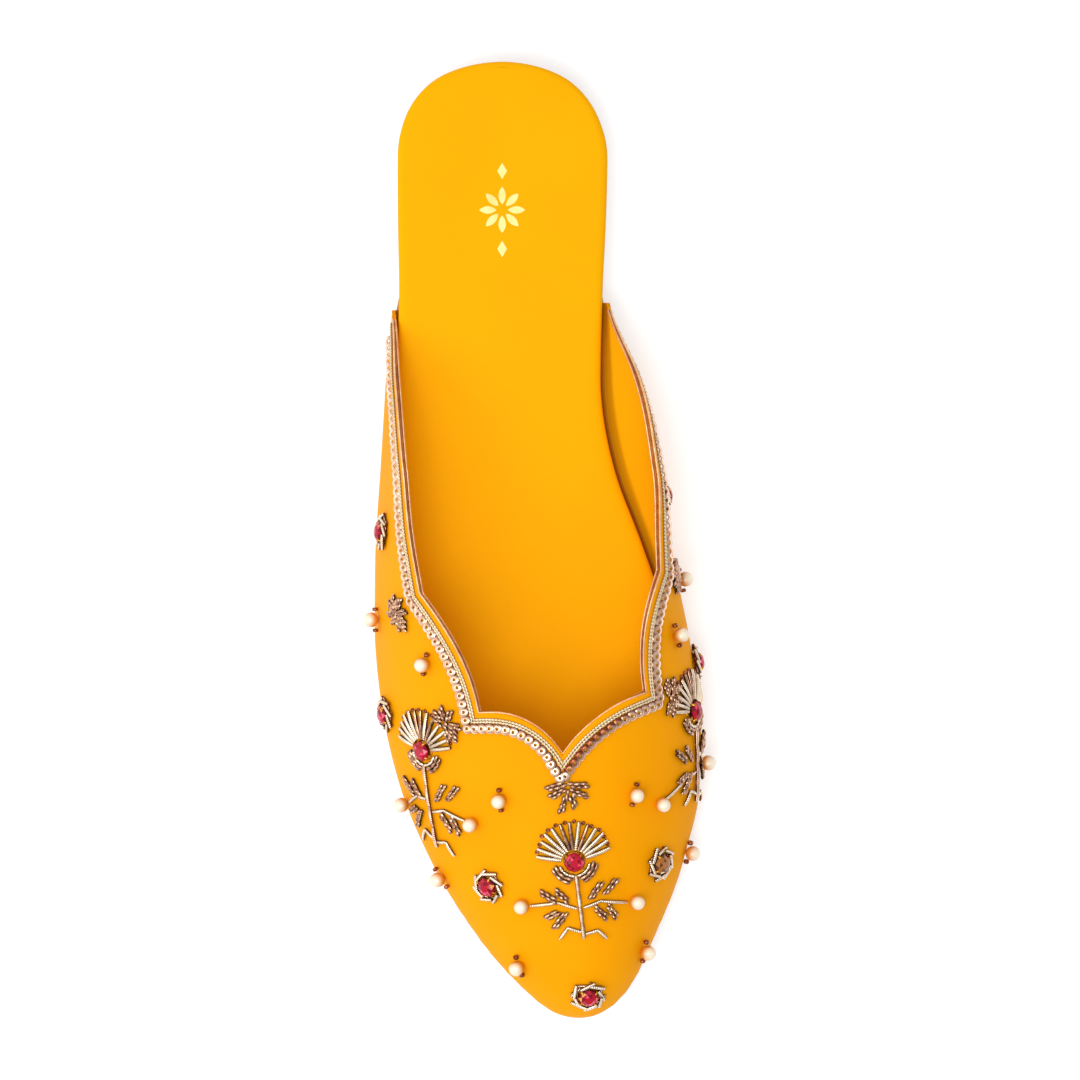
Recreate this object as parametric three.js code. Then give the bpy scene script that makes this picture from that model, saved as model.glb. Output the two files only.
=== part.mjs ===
// A backless khussa for the right foot: a pointed slip-on with a scalloped, bead-embroidered vamp.
// Millimetres, +Z up. The toe points to -Y and the inner side of the foot is +X.
// "along" is the distance from the back of the heel, and "across" is measured from the heel's centre line.
import * as THREE from "three";

// Driving dimensions
const shoeLength = 258;
const heelBackY = shoeLength / 2;
const heelAxisX = -10.2;
const footbedLength = 255.6;
const footbedThickness = 3.4;
const soleThickness = 4;
const heelBreast = 57;
const wallThickness = 1.5;
const wallSeat = 2.4;
const rearEndThickness = 0.8;
const rearPare = { from: 66, to: 88 };
const roundingReach = 6;
const toeSharpness = 6;
const seamGap = 0.3;
const soleRim = { heel: -0.5, fore: 1.5, from: 58, to: 74 };
const footbedToeInset = { most: 4, from: 205, to: 254 };

// Footbed outline: where its outer and inner edges lie at each distance along the foot
const footbedOutline = [
  { along: 0, lateral: 0, medial: 0 },
  { along: 6, lateral: -19.6, medial: 19.2 },
  { along: 14, lateral: -25.7, medial: 25.4 },
  { along: 26, lateral: -28.2, medial: 28.4 },
  { along: 45, lateral: -28.1, medial: 27.9 },
  { along: 62, lateral: -27.8, medial: 27.1 },
  { along: 85, lateral: -29, medial: 26.8 },
  { along: 110, lateral: -30.5, medial: 30.6 },
  { along: 130, lateral: -31.8, medial: 38 },
  { along: 150, lateral: -32, medial: 44.8 },
  { along: 172, lateral: -30.1, medial: 49.4 },
  { along: 195, lateral: -25, medial: 49.7 },
  { along: 215, lateral: -16.6, medial: 46 },
  { along: 235, lateral: -3.8, medial: 38.3 },
  { along: 248, lateral: 8, medial: 31.8 },
  { along: footbedLength, lateral: 20.8, medial: 20.8 },
];

// Height of the seat that footbed and upper stand on: heel pitch, flat tread and toe spring
const seatProfile = [
  { along: 0, height: 13 },
  { along: 45, height: 12.6 },
  { along: 75, height: 10.6 },
  { along: 105, height: 7.4 },
  { along: 135, height: 4.8 },
  { along: 155, height: soleThickness },
  { along: 200, height: soleThickness },
  { along: 230, height: 5.8 },
  { along: shoeLength, height: 9.2 },
];

// Sections of the last: the crest line, its height above the seat, how far each wall leans out, and how
// square the shoulder below the crest is
const lastSections = [
  { along: 60, crest: 3, height: 72, lateralLean: -0.1, medialLean: 0.1, shoulder: 0.8 },
  { along: 70, crest: 3.6, height: 72, lateralLean: -0.14, medialLean: 0.36, shoulder: 0.8 },
  { along: 85, crest: 4.5, height: 70, lateralLean: -0.16, medialLean: 0.7, shoulder: 0.8 },
  { along: 110, crest: 6.5, height: 64, lateralLean: -0.18, medialLean: 0.78, shoulder: 0.78 },
  { along: 130, crest: 8.7, height: 56.5, lateralLean: -0.06, medialLean: 0.58, shoulder: 0.66 },
  { along: 150, crest: 11.3, height: 50.5, lateralLean: 0.08, medialLean: 0.4, shoulder: 0.56 },
  { along: 172, crest: 14.2, height: 44, lateralLean: 0.16, medialLean: 0.36, shoulder: 0.52 },
  { along: 190, crest: 16.7, height: 38.8, lateralLean: 0.18, medialLean: 0.38, shoulder: 0.52 },
  { along: 215, crest: 19.4, height: 30, lateralLean: 0.18, medialLean: 0.24, shoulder: 0.52 },
  { along: 235, crest: 21.4, height: 21.8, lateralLean: 0.24, medialLean: 0.24, shoulder: 0.52 },
  { along: 250, crest: 22.2, height: 13, lateralLean: 0.36, medialLean: 0.36, shoulder: 0.52 },
  { along: shoeLength, crest: 20.8, height: 0, lateralLean: 0.4, medialLean: 0.4, shoulder: 0.52 },
];
const lateralRise = 0.42;
const medialRise = 0.5;

// Collar: cusps of the scalloped edge. "girth" runs from 0 at the outer seat over the crest (1) to 2 at the
// inner seat, "foot" is where the pattern line from the cusp meets the seat, and "bulge" swells the lobe
// that follows.
const collarCusps = [
  { along: 69, girth: 0.02, foot: 67, bulge: 4, steps: 14 },
  { along: 143.5, girth: 0.49, foot: 146, bulge: 3, steps: 12 },
  { along: 176, girth: 0.7, foot: 208, bulge: 3.8, steps: 12 },
  { along: 187.5, girth: 1, foot: shoeLength, bulge: 2, steps: 12 },
  { along: 170.5, girth: 1.42, foot: 208, bulge: 3.2, steps: 12 },
  { along: 137.5, girth: 1.6, foot: 146, bulge: 3, steps: 14 },
  { along: 66.5, girth: 1.98, foot: 65, bulge: 0, steps: 0 },
];
const halfGirth = 60;
const rowsUpTheWall = 11;

// Trim along the collar: distances from the edge, and radii
const piping = { distance: 0.6, radius: 0.42, sides: 5 };
const cord = { distance: 2.5, radius: 0.5, sides: 5 };
const sequinBorder = { from: 3.3, to: 6, thickness: 0.8 };

// Beadwork: places on the upper, as distance along the foot and girth
const rosettes = [
  { name: "rosette_outer_rear", along: 126.8, girth: 0.19 },
  { name: "rosette_outer_ball", along: 176, girth: 0.18 },
  { name: "rosette_outer_toe", along: 222, girth: 0.55 },
  { name: "rosette_toe", along: 251.6, girth: 1.06 },
  { name: "rosette_inner_toe", along: 216, girth: 1.54 },
  { name: "rosette_inner_ball", along: 162, girth: 1.87 },
  { name: "rosette_inner_rear", along: 117, girth: 1.8 },
];
const rosetteRadius = 5;
const stoneRadius = 2.6;

const pearls = [
  { name: "pearl_outer_wall", along: 150.5, girth: 0.17 },
  { name: "pearl_outer_lobe", along: 162.2, girth: 0.51 },
  { name: "pearl_outer_vamp", along: 198.6, girth: 0.735 },
  { name: "pearl_outer_feather", along: 219.8, girth: 0.2 },
  { name: "pearl_outer_toe", along: 243.4, girth: 0.48 },
  { name: "pearl_inner_vamp", along: 197.2, girth: 1.32 },
  { name: "pearl_inner_lobe", along: 154.7, girth: 1.63 },
  { name: "pearl_inner_wall", along: 140, girth: 1.83 },
  { name: "pearl_inner_toe", along: 239.6, girth: 1.66 },
  { name: "pearl_inner_feather", along: 213, girth: 1.85 },
  { name: "pearl_toe_branch_outer", along: 227, girth: 0.71 },
  { name: "pearl_toe_branch_inner", along: 226, girth: 1.39 },
  { name: "pearl_outer_branch_upper", along: 205, girth: 0.585 },
  { name: "pearl_outer_branch_lower", along: 199.8, girth: 0.16 },
  { name: "pearl_inner_branch_upper", along: 199.8, girth: 1.46 },
  { name: "pearl_inner_branch_lower", along: 189, girth: 1.84 },
];
const pearlRadius = 2.05;

const thistles = [
  { name: "thistle_toe", along: 215.3, girth: 1, rootAlong: 236, rootGirth: 1.02 },
  { name: "thistle_outer", along: 185.5, girth: 0.425, rootAlong: 213, rootGirth: 0.29 },
  { name: "thistle_inner", along: 175.2, girth: 1.7, rootAlong: 200, rootGirth: 1.76 },
];
const fan = { inner: 4, outer: 10.4, halfAngle: 72, steps: 8, thickness: 1 };
const stemProfile = [
  { share: 0.18, half: 2.4 },
  { share: 0.28, half: 0.7 },
  { share: 0.42, half: 0.7 },
  { share: 0.54, half: 4.2 },
  { share: 0.64, half: 2.6 },
  { share: 0.72, half: 0.7 },
  { share: 0.94, half: 0.7 },
  { share: 1, half: 3 },
];
const stemThickness = 0.8;

const sprays = [
  { name: "spray_throat", along: 196.6, girth: 1, rootAlong: 203.4, rootGirth: 1 },
  { name: "spray_outer_cusp", along: 147, girth: 0.39, rootAlong: 153, rootGirth: 0.34 },
  { name: "spray_inner_cusp", along: 138, girth: 1.72, rootAlong: 143.5, rootGirth: 1.75 },
];
const sprayProfile = [
  { share: 0, half: 0.8 },
  { share: 0.35, half: 3.2 },
  { share: 0.75, half: 2.6 },
  { share: 1, half: 0.8 },
];

// Distances along the foot are also read as the angle of a half turn, which crowds both ends
const turnAt = (along, length) => Math.acos(THREE.MathUtils.clamp(1 - (2 * along) / length, -1, 1));
const alongAt = (turn, length) => (length * (1 - Math.cos(turn))) / 2;

// Smooth curve through one column of a table, by that angle: a width that ends at nought is rounded there
function tableCurve(rows, column, length) {
  const at = rows.map((row) => turnAt(row.along, length));
  const value = rows.map((row) => row[column]);
  const rise = value.slice(1).map((v, i) => (v - value[i]) / (at[i + 1] - at[i]));
  const slope = value.map((_, i) => {
    if (i === 0) return rise[0];
    if (i === rise.length) return rise[i - 1];
    const before = at[i] - at[i - 1];
    const after = at[i + 1] - at[i];
    if (rise[i - 1] * rise[i] <= 0) return 0;
    return (rise[i - 1] * after + rise[i] * before) / (before + after);
  });
  return (along) => {
    const angle = turnAt(along, length);
    let i = 0;
    while (i < at.length - 2 && angle > at[i + 1]) i += 1;
    const span = at[i + 1] - at[i];
    const t = THREE.MathUtils.clamp((angle - at[i]) / span, 0, 1);
    const t2 = t * t;
    const t3 = t2 * t;
    return (
      (2 * t3 - 3 * t2 + 1) * value[i] +
      (t3 - 2 * t2 + t) * span * slope[i] +
      (3 * t2 - 2 * t3) * value[i + 1] +
      (t3 - t2) * span * slope[i + 1]
    );
  };
}

const footbedLateral = tableCurve(footbedOutline, "lateral", footbedLength);
const footbedMedial = tableCurve(footbedOutline, "medial", footbedLength);
const seatHeight = tableCurve(seatProfile, "height", shoeLength);
const crestAcross = tableCurve(lastSections, "crest", shoeLength);
const crestHeight = tableCurve(lastSections, "height", shoeLength);
const lateralLean = tableCurve(lastSections, "lateralLean", shoeLength);
const medialLean = tableCurve(lastSections, "medialLean", shoeLength);
const shoulder = tableCurve(lastSections, "shoulder", shoeLength);

const shoePoint = (across, along, height) =>
  new THREE.Vector3(heelAxisX + across, heelBackY - along, height);

// Closed skins are collected triangle by triangle, with corners that coincide shared
class Skin {
  constructor() {
    this.positions = [];
    this.faces = [];
    this.known = new Map();
  }
  corner(point) {
    const key = point.toArray().map((c) => Math.round(c * 1e4)).join();
    if (!this.known.has(key)) {
      this.known.set(key, this.positions.length / 3);
      this.positions.push(...point.toArray());
    }
    return this.known.get(key);
  }
  triangle(a, b, c) {
    const ids = [a, b, c].map((point) => this.corner(point));
    if (new Set(ids).size === 3) this.faces.push(...ids);
  }
  quad(a, b, c, d) {
    this.triangle(a, b, c);
    this.triangle(a, c, d);
  }
  strip(first, second) {
    for (let i = 0; i + 1 < first.length; i += 1) {
      this.quad(first[i], first[i + 1], second[i + 1], second[i]);
    }
  }
  sheet(rows) {
    for (let i = 0; i + 1 < rows.length; i += 1) this.strip(rows[i], rows[i + 1]);
  }
  geometry() {
    const made = new THREE.BufferGeometry();
    made.setAttribute("position", new THREE.Float32BufferAttribute(this.positions, 3));
    made.setIndex(this.faces);
    made.computeVertexNormals();
    return made;
  }
}

// A wall between an outer and an inner sheet of points, closed along its four edges
function wallSolid(outer, inner) {
  const skin = new Skin();
  const reversed = (rows) => rows.map((row) => [...row].reverse());
  skin.sheet(reversed(outer));
  skin.sheet(inner);
  const last = outer.length - 1;
  const end = outer[0].length - 1;
  skin.strip(outer[0], inner[0]);
  skin.strip(inner[last], outer[last]);
  skin.strip(inner.map((row) => row[0]), outer.map((row) => row[0]));
  skin.strip(outer.map((row) => row[end]), inner.map((row) => row[end]));
  return skin.geometry();
}

// A flat piece under the foot: rings of the footbed's outline, each with its own offset and height, and a
// cap at both ends
const ringStations = [
  ...[0, 0.6, 2.2, 4.8, 8.2, 12.4, 17.5, 24, 32, 42, heelBreast - 6, heelBreast - 1, heelBreast + 1],
  ...[63, 68, 73, 80, 90, 100],
  ...[110, 120, 130, 140, 155, 168, 180, 190, 200, 209, 218],
  ...[226, 233, 239, 244, 248.5, 252, 254.4, footbedLength],
];

function outlineRing(offsetAt) {
  const lateral = ringStations.map((along) => new THREE.Vector2(footbedLateral(along), along));
  const medial = ringStations.map((along) => new THREE.Vector2(footbedMedial(along), along));
  const ring = [...lateral, ...medial.slice(1, -1).reverse()];
  const count = ring.length;
  const moved = ring.map((point, i) => {
    const before = ring[(i + count - 1) % count];
    const after = ring[(i + 1) % count];
    const tangent = after.clone().sub(before).normalize();
    return point.clone().addScaledVector(new THREE.Vector2(-tangent.y, tangent.x), offsetAt(point.y));
  });
  const last = ringStations.length - 1;
  return {
    lateral: moved.slice(0, last + 1),
    medial: [moved[0], ...moved.slice(last + 1).reverse(), moved[last]],
  };
}

function layeredSolid(levels) {
  const skin = new Skin();
  const rings = levels.map(({ offset, height }) => {
    const { lateral, medial } = outlineRing(offset);
    const lift = (point, i) => shoePoint(point.x, point.y, height(ringStations[i]));
    return { lateral: lateral.map(lift), medial: medial.map(lift) };
  });
  const bottom = rings[0];
  const top = rings[rings.length - 1];
  skin.strip(bottom.medial, bottom.lateral);
  skin.strip(top.lateral, top.medial);
  for (let i = 0; i + 1 < rings.length; i += 1) {
    skin.strip(rings[i].lateral, rings[i + 1].lateral);
    skin.strip(rings[i + 1].medial, rings[i].medial);
  }
  return skin.geometry();
}

// Outsole: one moulded piece with a low heel, flat under heel and ball and sprung at the toe
const soleUnderside = (along) => (along < heelBreast ? 0 : Math.max(0, seatHeight(along) - soleThickness));
const soleAtDepth = (share) => (along) =>
  THREE.MathUtils.lerp(soleUnderside(along), seatHeight(along), share);
const soleReach = (along) => {
  const share = THREE.MathUtils.smoothstep(along, soleRim.from, soleRim.to);
  return THREE.MathUtils.lerp(soleRim.heel, soleRim.fore, share);
};
const soleOffset = (inset) => (along) => soleReach(along) - inset;

const outsoleGeometry = () =>
  layeredSolid([
    { offset: soleOffset(1.6), height: soleAtDepth(0) },
    { offset: soleOffset(0.6), height: soleAtDepth(0.14) },
    { offset: soleOffset(0.1), height: soleAtDepth(0.4) },
    { offset: soleOffset(0), height: soleAtDepth(0.6) },
    { offset: soleOffset(0.7), height: soleAtDepth(0.66) },
    { offset: soleOffset(0), height: soleAtDepth(0.72) },
    { offset: soleOffset(0), height: soleAtDepth(0.88) },
    { offset: soleOffset(0.5), height: soleAtDepth(1) },
  ]);

// Footbed: a padded board wrapped in the upper's material, with softly rolled edges
const footbedLevel = (rise) => (along) => seatHeight(along) + seamGap + rise;
const toeInset = (along) =>
  footbedToeInset.most * THREE.MathUtils.smoothstep(along, footbedToeInset.from, footbedToeInset.to);
const inFrom = (inset) => (along) => -inset - toeInset(along);

const footbedGeometry = () =>
  layeredSolid([
    { offset: inFrom(0.9), height: footbedLevel(0) },
    { offset: inFrom(0), height: footbedLevel(0.8) },
    { offset: inFrom(0), height: footbedLevel(2.1) },
    { offset: inFrom(0.6), height: footbedLevel(3) },
    { offset: inFrom(1.8), height: footbedLevel(footbedThickness) },
  ]);

// The wall is pared thin where its rear ends run out beside the footbed
const wallAt = (along) => {
  const share = THREE.MathUtils.smoothstep(along, rearPare.from, rearPare.to);
  return THREE.MathUtils.lerp(rearEndThickness, wallThickness, share);
};

// A point on the upper. "girth" 0 is the outer seat, 1 the crest and 2 the inner seat, and "depth" 1 is the
// inside face. Near the toe the sections close in a point, so sizes there are eased off.
function upperPoint(along, girth, depth = 0) {
  const nearToe = (along / shoeLength) ** toeSharpness;
  const reach = along - (shoeLength - footbedLength) * nearToe;
  const ease = (size) => 1 - Math.exp(-size / roundingReach);
  const inset = depth * wallAt(along);
  const outset = wallSeat - wallThickness + wallAt(along) - inset;
  const crest = crestAcross(along);
  const outer = girth <= 1;
  const side = outer ? -1 : 1;
  const width = outer ? crest - footbedLateral(reach) : footbedMedial(reach) - crest;
  const span = width + outset * ease(width);
  const height = crestHeight(along) - inset * ease(crestHeight(along));
  const lean = outer ? lateralLean(along) : medialLean(along);
  const rise = height * (outer ? lateralRise : medialRise);
  const profile = new THREE.CubicBezierCurve(
    new THREE.Vector2(span, 0),
    new THREE.Vector2(span + rise * lean, rise),
    new THREE.Vector2(span * shoulder(along), height),
    new THREE.Vector2(0, height),
  );
  const { x, y } = profile.getPoint(outer ? girth : 2 - girth);
  return shoePoint(crest + side * x, along - inset * nearToe, seatHeight(along) + seamGap + y);
}

// The collar as points on the pattern, with the seat station that each one's pattern line runs down to
function collarLine() {
  const line = [];
  collarCusps.slice(0, -1).forEach((cusp, i) => {
    const next = collarCusps[i + 1];
    const from = new THREE.Vector2(cusp.along, cusp.girth * halfGirth);
    const to = new THREE.Vector2(next.along, next.girth * halfGirth);
    const chord = to.clone().sub(from).normalize();
    const middle = from.clone().add(to).multiplyScalar(0.5);
    middle.addScaledVector(new THREE.Vector2(chord.y, -chord.x), -2 * cusp.bulge);
    const lobe = new THREE.QuadraticBezierCurve(from, middle, to);
    const footTurns = [cusp.foot, next.foot].map((foot) => turnAt(foot, shoeLength));
    for (let step = 0; step < cusp.steps; step += 1) {
      const t = step / cusp.steps;
      const point = lobe.getPoint(t);
      const foot = alongAt(THREE.MathUtils.lerp(...footTurns, t), shoeLength);
      line.push({ along: point.x, girth: point.y / halfGirth, foot });
    }
  });
  const end = collarCusps[collarCusps.length - 1];
  line.push({ along: end.along, girth: end.girth, foot: end.foot });
  return line;
}

// Pattern lines climb the wall before they run back to the collar, and fan out round the toe
function patternLine({ along, girth, foot }, depth) {
  const seatGirth = girth <= 1 ? 0 : 2;
  const toToe = (station) => Math.max(shoeLength - station, 1e-6);
  return Array.from({ length: rowsUpTheWall + 1 }, (_, row) => {
    const share = row / rowsUpTheWall;
    const station = THREE.MathUtils.lerp(foot, along, share ** 2);
    const climb = share * Math.sqrt(toToe(along) / toToe(station));
    return upperPoint(station, THREE.MathUtils.lerp(seatGirth, girth, climb), depth);
  });
}

const upperGeometry = () =>
  wallSolid(
    collarLine().map((point) => patternLine(point, 0)),
    collarLine().map((point) => patternLine(point, 1)),
  );

// Tangent frame on the outside of the upper: "ahead" towards the toe, "right" towards the inner side
const nudge = { along: 0.2, girth: 0.004 };

function upperFrame(along, girth) {
  const ahead = upperPoint(along + nudge.along, girth)
    .sub(upperPoint(along - nudge.along, girth))
    .divideScalar(2 * nudge.along);
  const round = upperPoint(along, girth + nudge.girth)
    .sub(upperPoint(along, girth - nudge.girth))
    .divideScalar(2 * nudge.girth);
  const normal = ahead.clone().cross(round).normalize();
  const right = normal.clone().cross(ahead).normalize();
  return { point: upperPoint(along, girth), ahead, round, normal, right };
}

// Move over the surface by a tangent vector, then lift off it along its normal
function slideOnUpper({ along, girth }, move, lift) {
  const frame = upperFrame(along, girth);
  const girthMove = move.dot(frame.right) / frame.round.dot(frame.right);
  const rest = move.clone().addScaledVector(frame.round, -girthMove);
  const alongMove = rest.dot(frame.ahead) / frame.ahead.lengthSq();
  const landed = upperFrame(along + alongMove, girth + girthMove);
  return landed.point.addScaledVector(landed.normal, lift);
}

// A rail that follows the collar at a distance from its edge, mitred at the cusps
const sharpestMitre = 0.92;

function collarRail(distance, lift) {
  const line = collarLine();
  const points = line.map(({ along, girth }) => upperPoint(along, girth));
  return line.map((place, i) => {
    const { normal } = upperFrame(place.along, place.girth);
    const before = points[i].clone().sub(points[Math.max(i - 1, 0)]);
    const after = points[Math.min(i + 1, points.length - 1)].clone().sub(points[i]);
    const inward = [before, after]
      .filter((run) => run.lengthSq() > 0)
      .map((run) => run.clone().cross(normal).normalize());
    const mitre = inward.reduce((sum, way) => sum.add(way), new THREE.Vector3()).normalize();
    const stretch = distance / Math.max(mitre.dot(inward[0]), sharpestMitre);
    return slideOnUpper(place, mitre.multiplyScalar(stretch), lift);
  });
}

// How far down the wall a trim could reach at each point of the collar
const collarDrop = () =>
  collarLine().map(({ along, girth }) =>
    upperPoint(along, girth).distanceTo(upperPoint(along, girth <= 1 ? 0 : 2)),
  );

// Trim with a constant profile, swept along such rails from where the wall is high enough to carry it
function collarTrim(profile) {
  const skin = new Skin();
  const widest = Math.max(...profile.map(({ distance }) => distance));
  const carried = collarDrop().map((drop) => drop > widest + 2 * seamGap);
  const [start, stop] = [carried.indexOf(true), carried.lastIndexOf(true) + 1];
  const rails = profile.map(({ distance, lift }) => collarRail(distance, lift).slice(start, stop));
  const last = rails[0].length - 1;
  rails.forEach((rail, i) => skin.strip(rail, rails[(i + 1) % rails.length]));
  for (let i = 1; i + 1 < rails.length; i += 1) {
    skin.triangle(rails[0][0], rails[i][0], rails[i + 1][0]);
    skin.triangle(rails[0][last], rails[i + 1][last], rails[i][last]);
  }
  return skin.geometry();
}

const roundProfile = ({ distance, radius, sides }) =>
  Array.from({ length: sides }, (_, i) => {
    const angle = (2 * Math.PI * i) / sides - Math.PI / 2;
    return {
      distance: distance + radius * Math.cos(angle),
      lift: seamGap + radius + radius * Math.sin(angle),
    };
  });

const borderProfile = ({ from, to, thickness }) => [
  { distance: from, lift: seamGap },
  { distance: to, lift: seamGap },
  { distance: to, lift: seamGap + thickness * 0.6 },
  { distance: from, lift: seamGap + thickness },
];

// Turned beads, stood on the surface
function standOnUpper(geometry, { along, girth }, lift) {
  const { point, normal } = upperFrame(along, girth);
  const turn = new THREE.Quaternion().setFromUnitVectors(new THREE.Vector3(0, 1, 0), normal);
  const place = point.clone().addScaledVector(normal, lift);
  return geometry.applyMatrix4(new THREE.Matrix4().compose(place, turn, new THREE.Vector3(1, 1, 1)));
}

const lathe = (profile, segments) =>
  new THREE.LatheGeometry(profile.map(([radius, height]) => new THREE.Vector2(radius, height)), segments);

const rosetteBead = () =>
  lathe(
    [
      [0, 0],
      [rosetteRadius * 0.86, 0],
      [rosetteRadius, 0.8],
      [rosetteRadius * 0.8, 1.9],
      [stoneRadius + 0.4, 1.4],
      [stoneRadius, 2.2],
      [stoneRadius * 0.55, 3.2],
      [0, 3.4],
    ],
    10,
  );

const stoneBead = () =>
  lathe(
    [
      [0, 0],
      [stoneRadius + 0.3, 0],
      [stoneRadius + 0.3, 1.2],
      [stoneRadius * 0.55, 2.6],
      [0, 2.8],
    ],
    10,
  );

const pearlBead = () => new THREE.SphereGeometry(pearlRadius, 8, 6);

// Low relief: plates that follow the upper, laid out from a stem that runs from the stone to its root
function stemFrame(place) {
  const { point, normal } = upperFrame(place.along, place.girth);
  const stem = upperPoint(place.rootAlong, place.rootGirth).sub(point);
  const way = stem.clone().addScaledVector(normal, -stem.dot(normal)).normalize();
  return { way, side: normal.clone().cross(way) };
}

function reliefPlate(place, rows, thickness) {
  const lifted = (lift) => rows.map((row) => row.map((move) => slideOnUpper(place, move, lift)));
  return wallSolid(lifted(seamGap + thickness), lifted(seamGap));
}

function fanPlate(place) {
  const { way, side } = stemFrame(place);
  const rows = Array.from({ length: fan.steps + 1 }, (_, i) => {
    const turn = THREE.MathUtils.lerp(-fan.halfAngle, fan.halfAngle, i / fan.steps);
    const angle = THREE.MathUtils.degToRad(turn);
    const spoke = way.clone().multiplyScalar(-Math.cos(angle)).addScaledVector(side, Math.sin(angle));
    const reaches = [fan.inner, (fan.inner + fan.outer) / 2, fan.outer];
    return reaches.map((radius) => spoke.clone().multiplyScalar(radius));
  });
  return reliefPlate(place, rows, fan.thickness);
}

// A stem or spray is a strip whose width swells where its leaves are
function leafPlate(place, profile) {
  const { way, side } = stemFrame(place);
  const root = { along: place.rootAlong, girth: place.rootGirth };
  const lifted = (lift) =>
    profile.map(({ share, half }) => {
      const middle = {
        along: THREE.MathUtils.lerp(place.along, root.along, share),
        girth: THREE.MathUtils.lerp(place.girth, root.girth, share),
      };
      const moves = [-half, 0, half].map((reach) => side.clone().multiplyScalar(reach));
      return moves.map((move) => slideOnUpper(middle, move, lift));
    });
  return wallSolid(lifted(seamGap + stemThickness), lifted(seamGap));
}

const finish = (color, roughness, metalness = 0) =>
  new THREE.MeshStandardMaterial({ color, roughness, metalness });
const marigold = finish(0xfdb003, 0.62);
const tanRubber = finish(0xb98a55, 0.8);
const roseGold = finish(0xe3ac86, 0.3, 0.8);
const goldThread = finish(0xe9d09a, 0.4, 0.8);
const champagne = finish(0xd9cbb2, 0.3, 0.7);
const bronze = finish(0x8a6443, 0.4, 0.6);
const ruby = finish(0xa80f2c, 0.15);
const pearlWhite = finish(0xfbe6cf, 0.3);

const khussa = new THREE.Group();
function add(name, geometry, material) {
  const mesh = new THREE.Mesh(geometry, material);
  mesh.name = name;
  khussa.add(mesh);
}

add("outsole", outsoleGeometry(), tanRubber);
add("footbed", footbedGeometry(), marigold);
add("upper", upperGeometry(), marigold);
add("edge_piping", collarTrim(roundProfile(piping)), roseGold);
add("gold_cord", collarTrim(roundProfile(cord)), goldThread);
add("sequin_border", collarTrim(borderProfile(sequinBorder)), roseGold);
for (const place of rosettes) add(place.name, standOnUpper(rosetteBead(), place, seamGap), champagne);
for (const place of pearls) {
  add(place.name, standOnUpper(pearlBead(), place, seamGap + pearlRadius), pearlWhite);
}
for (const place of thistles) {
  add(`${place.name}_fan`, fanPlate(place), champagne);
  add(`${place.name}_stone`, standOnUpper(stoneBead(), place, seamGap), ruby);
  add(`${place.name}_stem`, leafPlate(place, stemProfile), bronze);
}
for (const place of sprays) add(place.name, leafPlate(place, sprayProfile), bronze);

export default khussa;
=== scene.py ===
# A backless khussa for the right foot: marigold leatherette, sequin collar, rod-and-pearl thistles.
# Shapes are worked out in millimetres and become metres when a mesh is made.
import math
import random

import bmesh
import bpy
import numpy as np
from mathutils import Matrix


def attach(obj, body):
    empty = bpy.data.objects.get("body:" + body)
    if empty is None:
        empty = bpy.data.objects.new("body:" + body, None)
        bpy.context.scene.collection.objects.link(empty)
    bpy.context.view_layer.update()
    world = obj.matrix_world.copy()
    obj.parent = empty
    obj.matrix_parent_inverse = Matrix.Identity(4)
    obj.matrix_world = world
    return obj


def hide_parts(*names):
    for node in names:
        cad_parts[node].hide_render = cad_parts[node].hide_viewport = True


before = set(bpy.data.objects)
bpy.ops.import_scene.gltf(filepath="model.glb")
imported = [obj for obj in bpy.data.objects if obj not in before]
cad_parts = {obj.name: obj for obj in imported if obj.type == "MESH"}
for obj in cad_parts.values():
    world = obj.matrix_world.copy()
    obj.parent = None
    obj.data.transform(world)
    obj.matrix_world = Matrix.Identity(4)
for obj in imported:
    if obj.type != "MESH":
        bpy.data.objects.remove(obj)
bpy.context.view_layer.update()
mm = 0.001
print("frame loaded,", len(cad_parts), "solids")


# Tables and curves of the last

def table(columns, *rows):
    return {name: np.array([row[i] for row in rows], float) for i, name in enumerate(columns.split())}


shoe = {
    "length": 258.0, "footbedLength": 255.6, "heelBackY": 129.0, "heelAxisX": -10.2, "halfGirth": 60.0,
    "footbedThickness": 3.4, "soleThickness": 4.0, "heelBreast": 57.0, "seamGap": 0.3,
    "wall": 1.5, "wallSeat": 2.4, "wallFade": 6.0, "rearWall": 0.8, "rearWallEnds": (66, 88),
    "lateralRise": 0.42, "medialRise": 0.5, "toePull": 6,
}
footbedOutline = table(
    "along lateral medial",
    (0, 0, 0), (6, -19.6, 19.2), (14, -25.7, 25.4), (26, -28.2, 28.4), (45, -28.1, 27.9),
    (62, -27.8, 27.1), (85, -29, 26.8), (110, -30.5, 30.6), (130, -31.8, 38), (150, -32, 44.8),
    (172, -30.1, 49.4), (195, -25, 49.7), (215, -16.6, 46), (235, -3.8, 38.3), (248, 8, 31.8),
    (255.6, 20.8, 20.8),
)
seatProfile = table(
    "along height",
    (0, 13), (45, 12.6), (75, 10.6), (105, 7.4), (135, 4.8), (155, 4), (200, 4), (230, 5.8), (258, 9.2),
)
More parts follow.
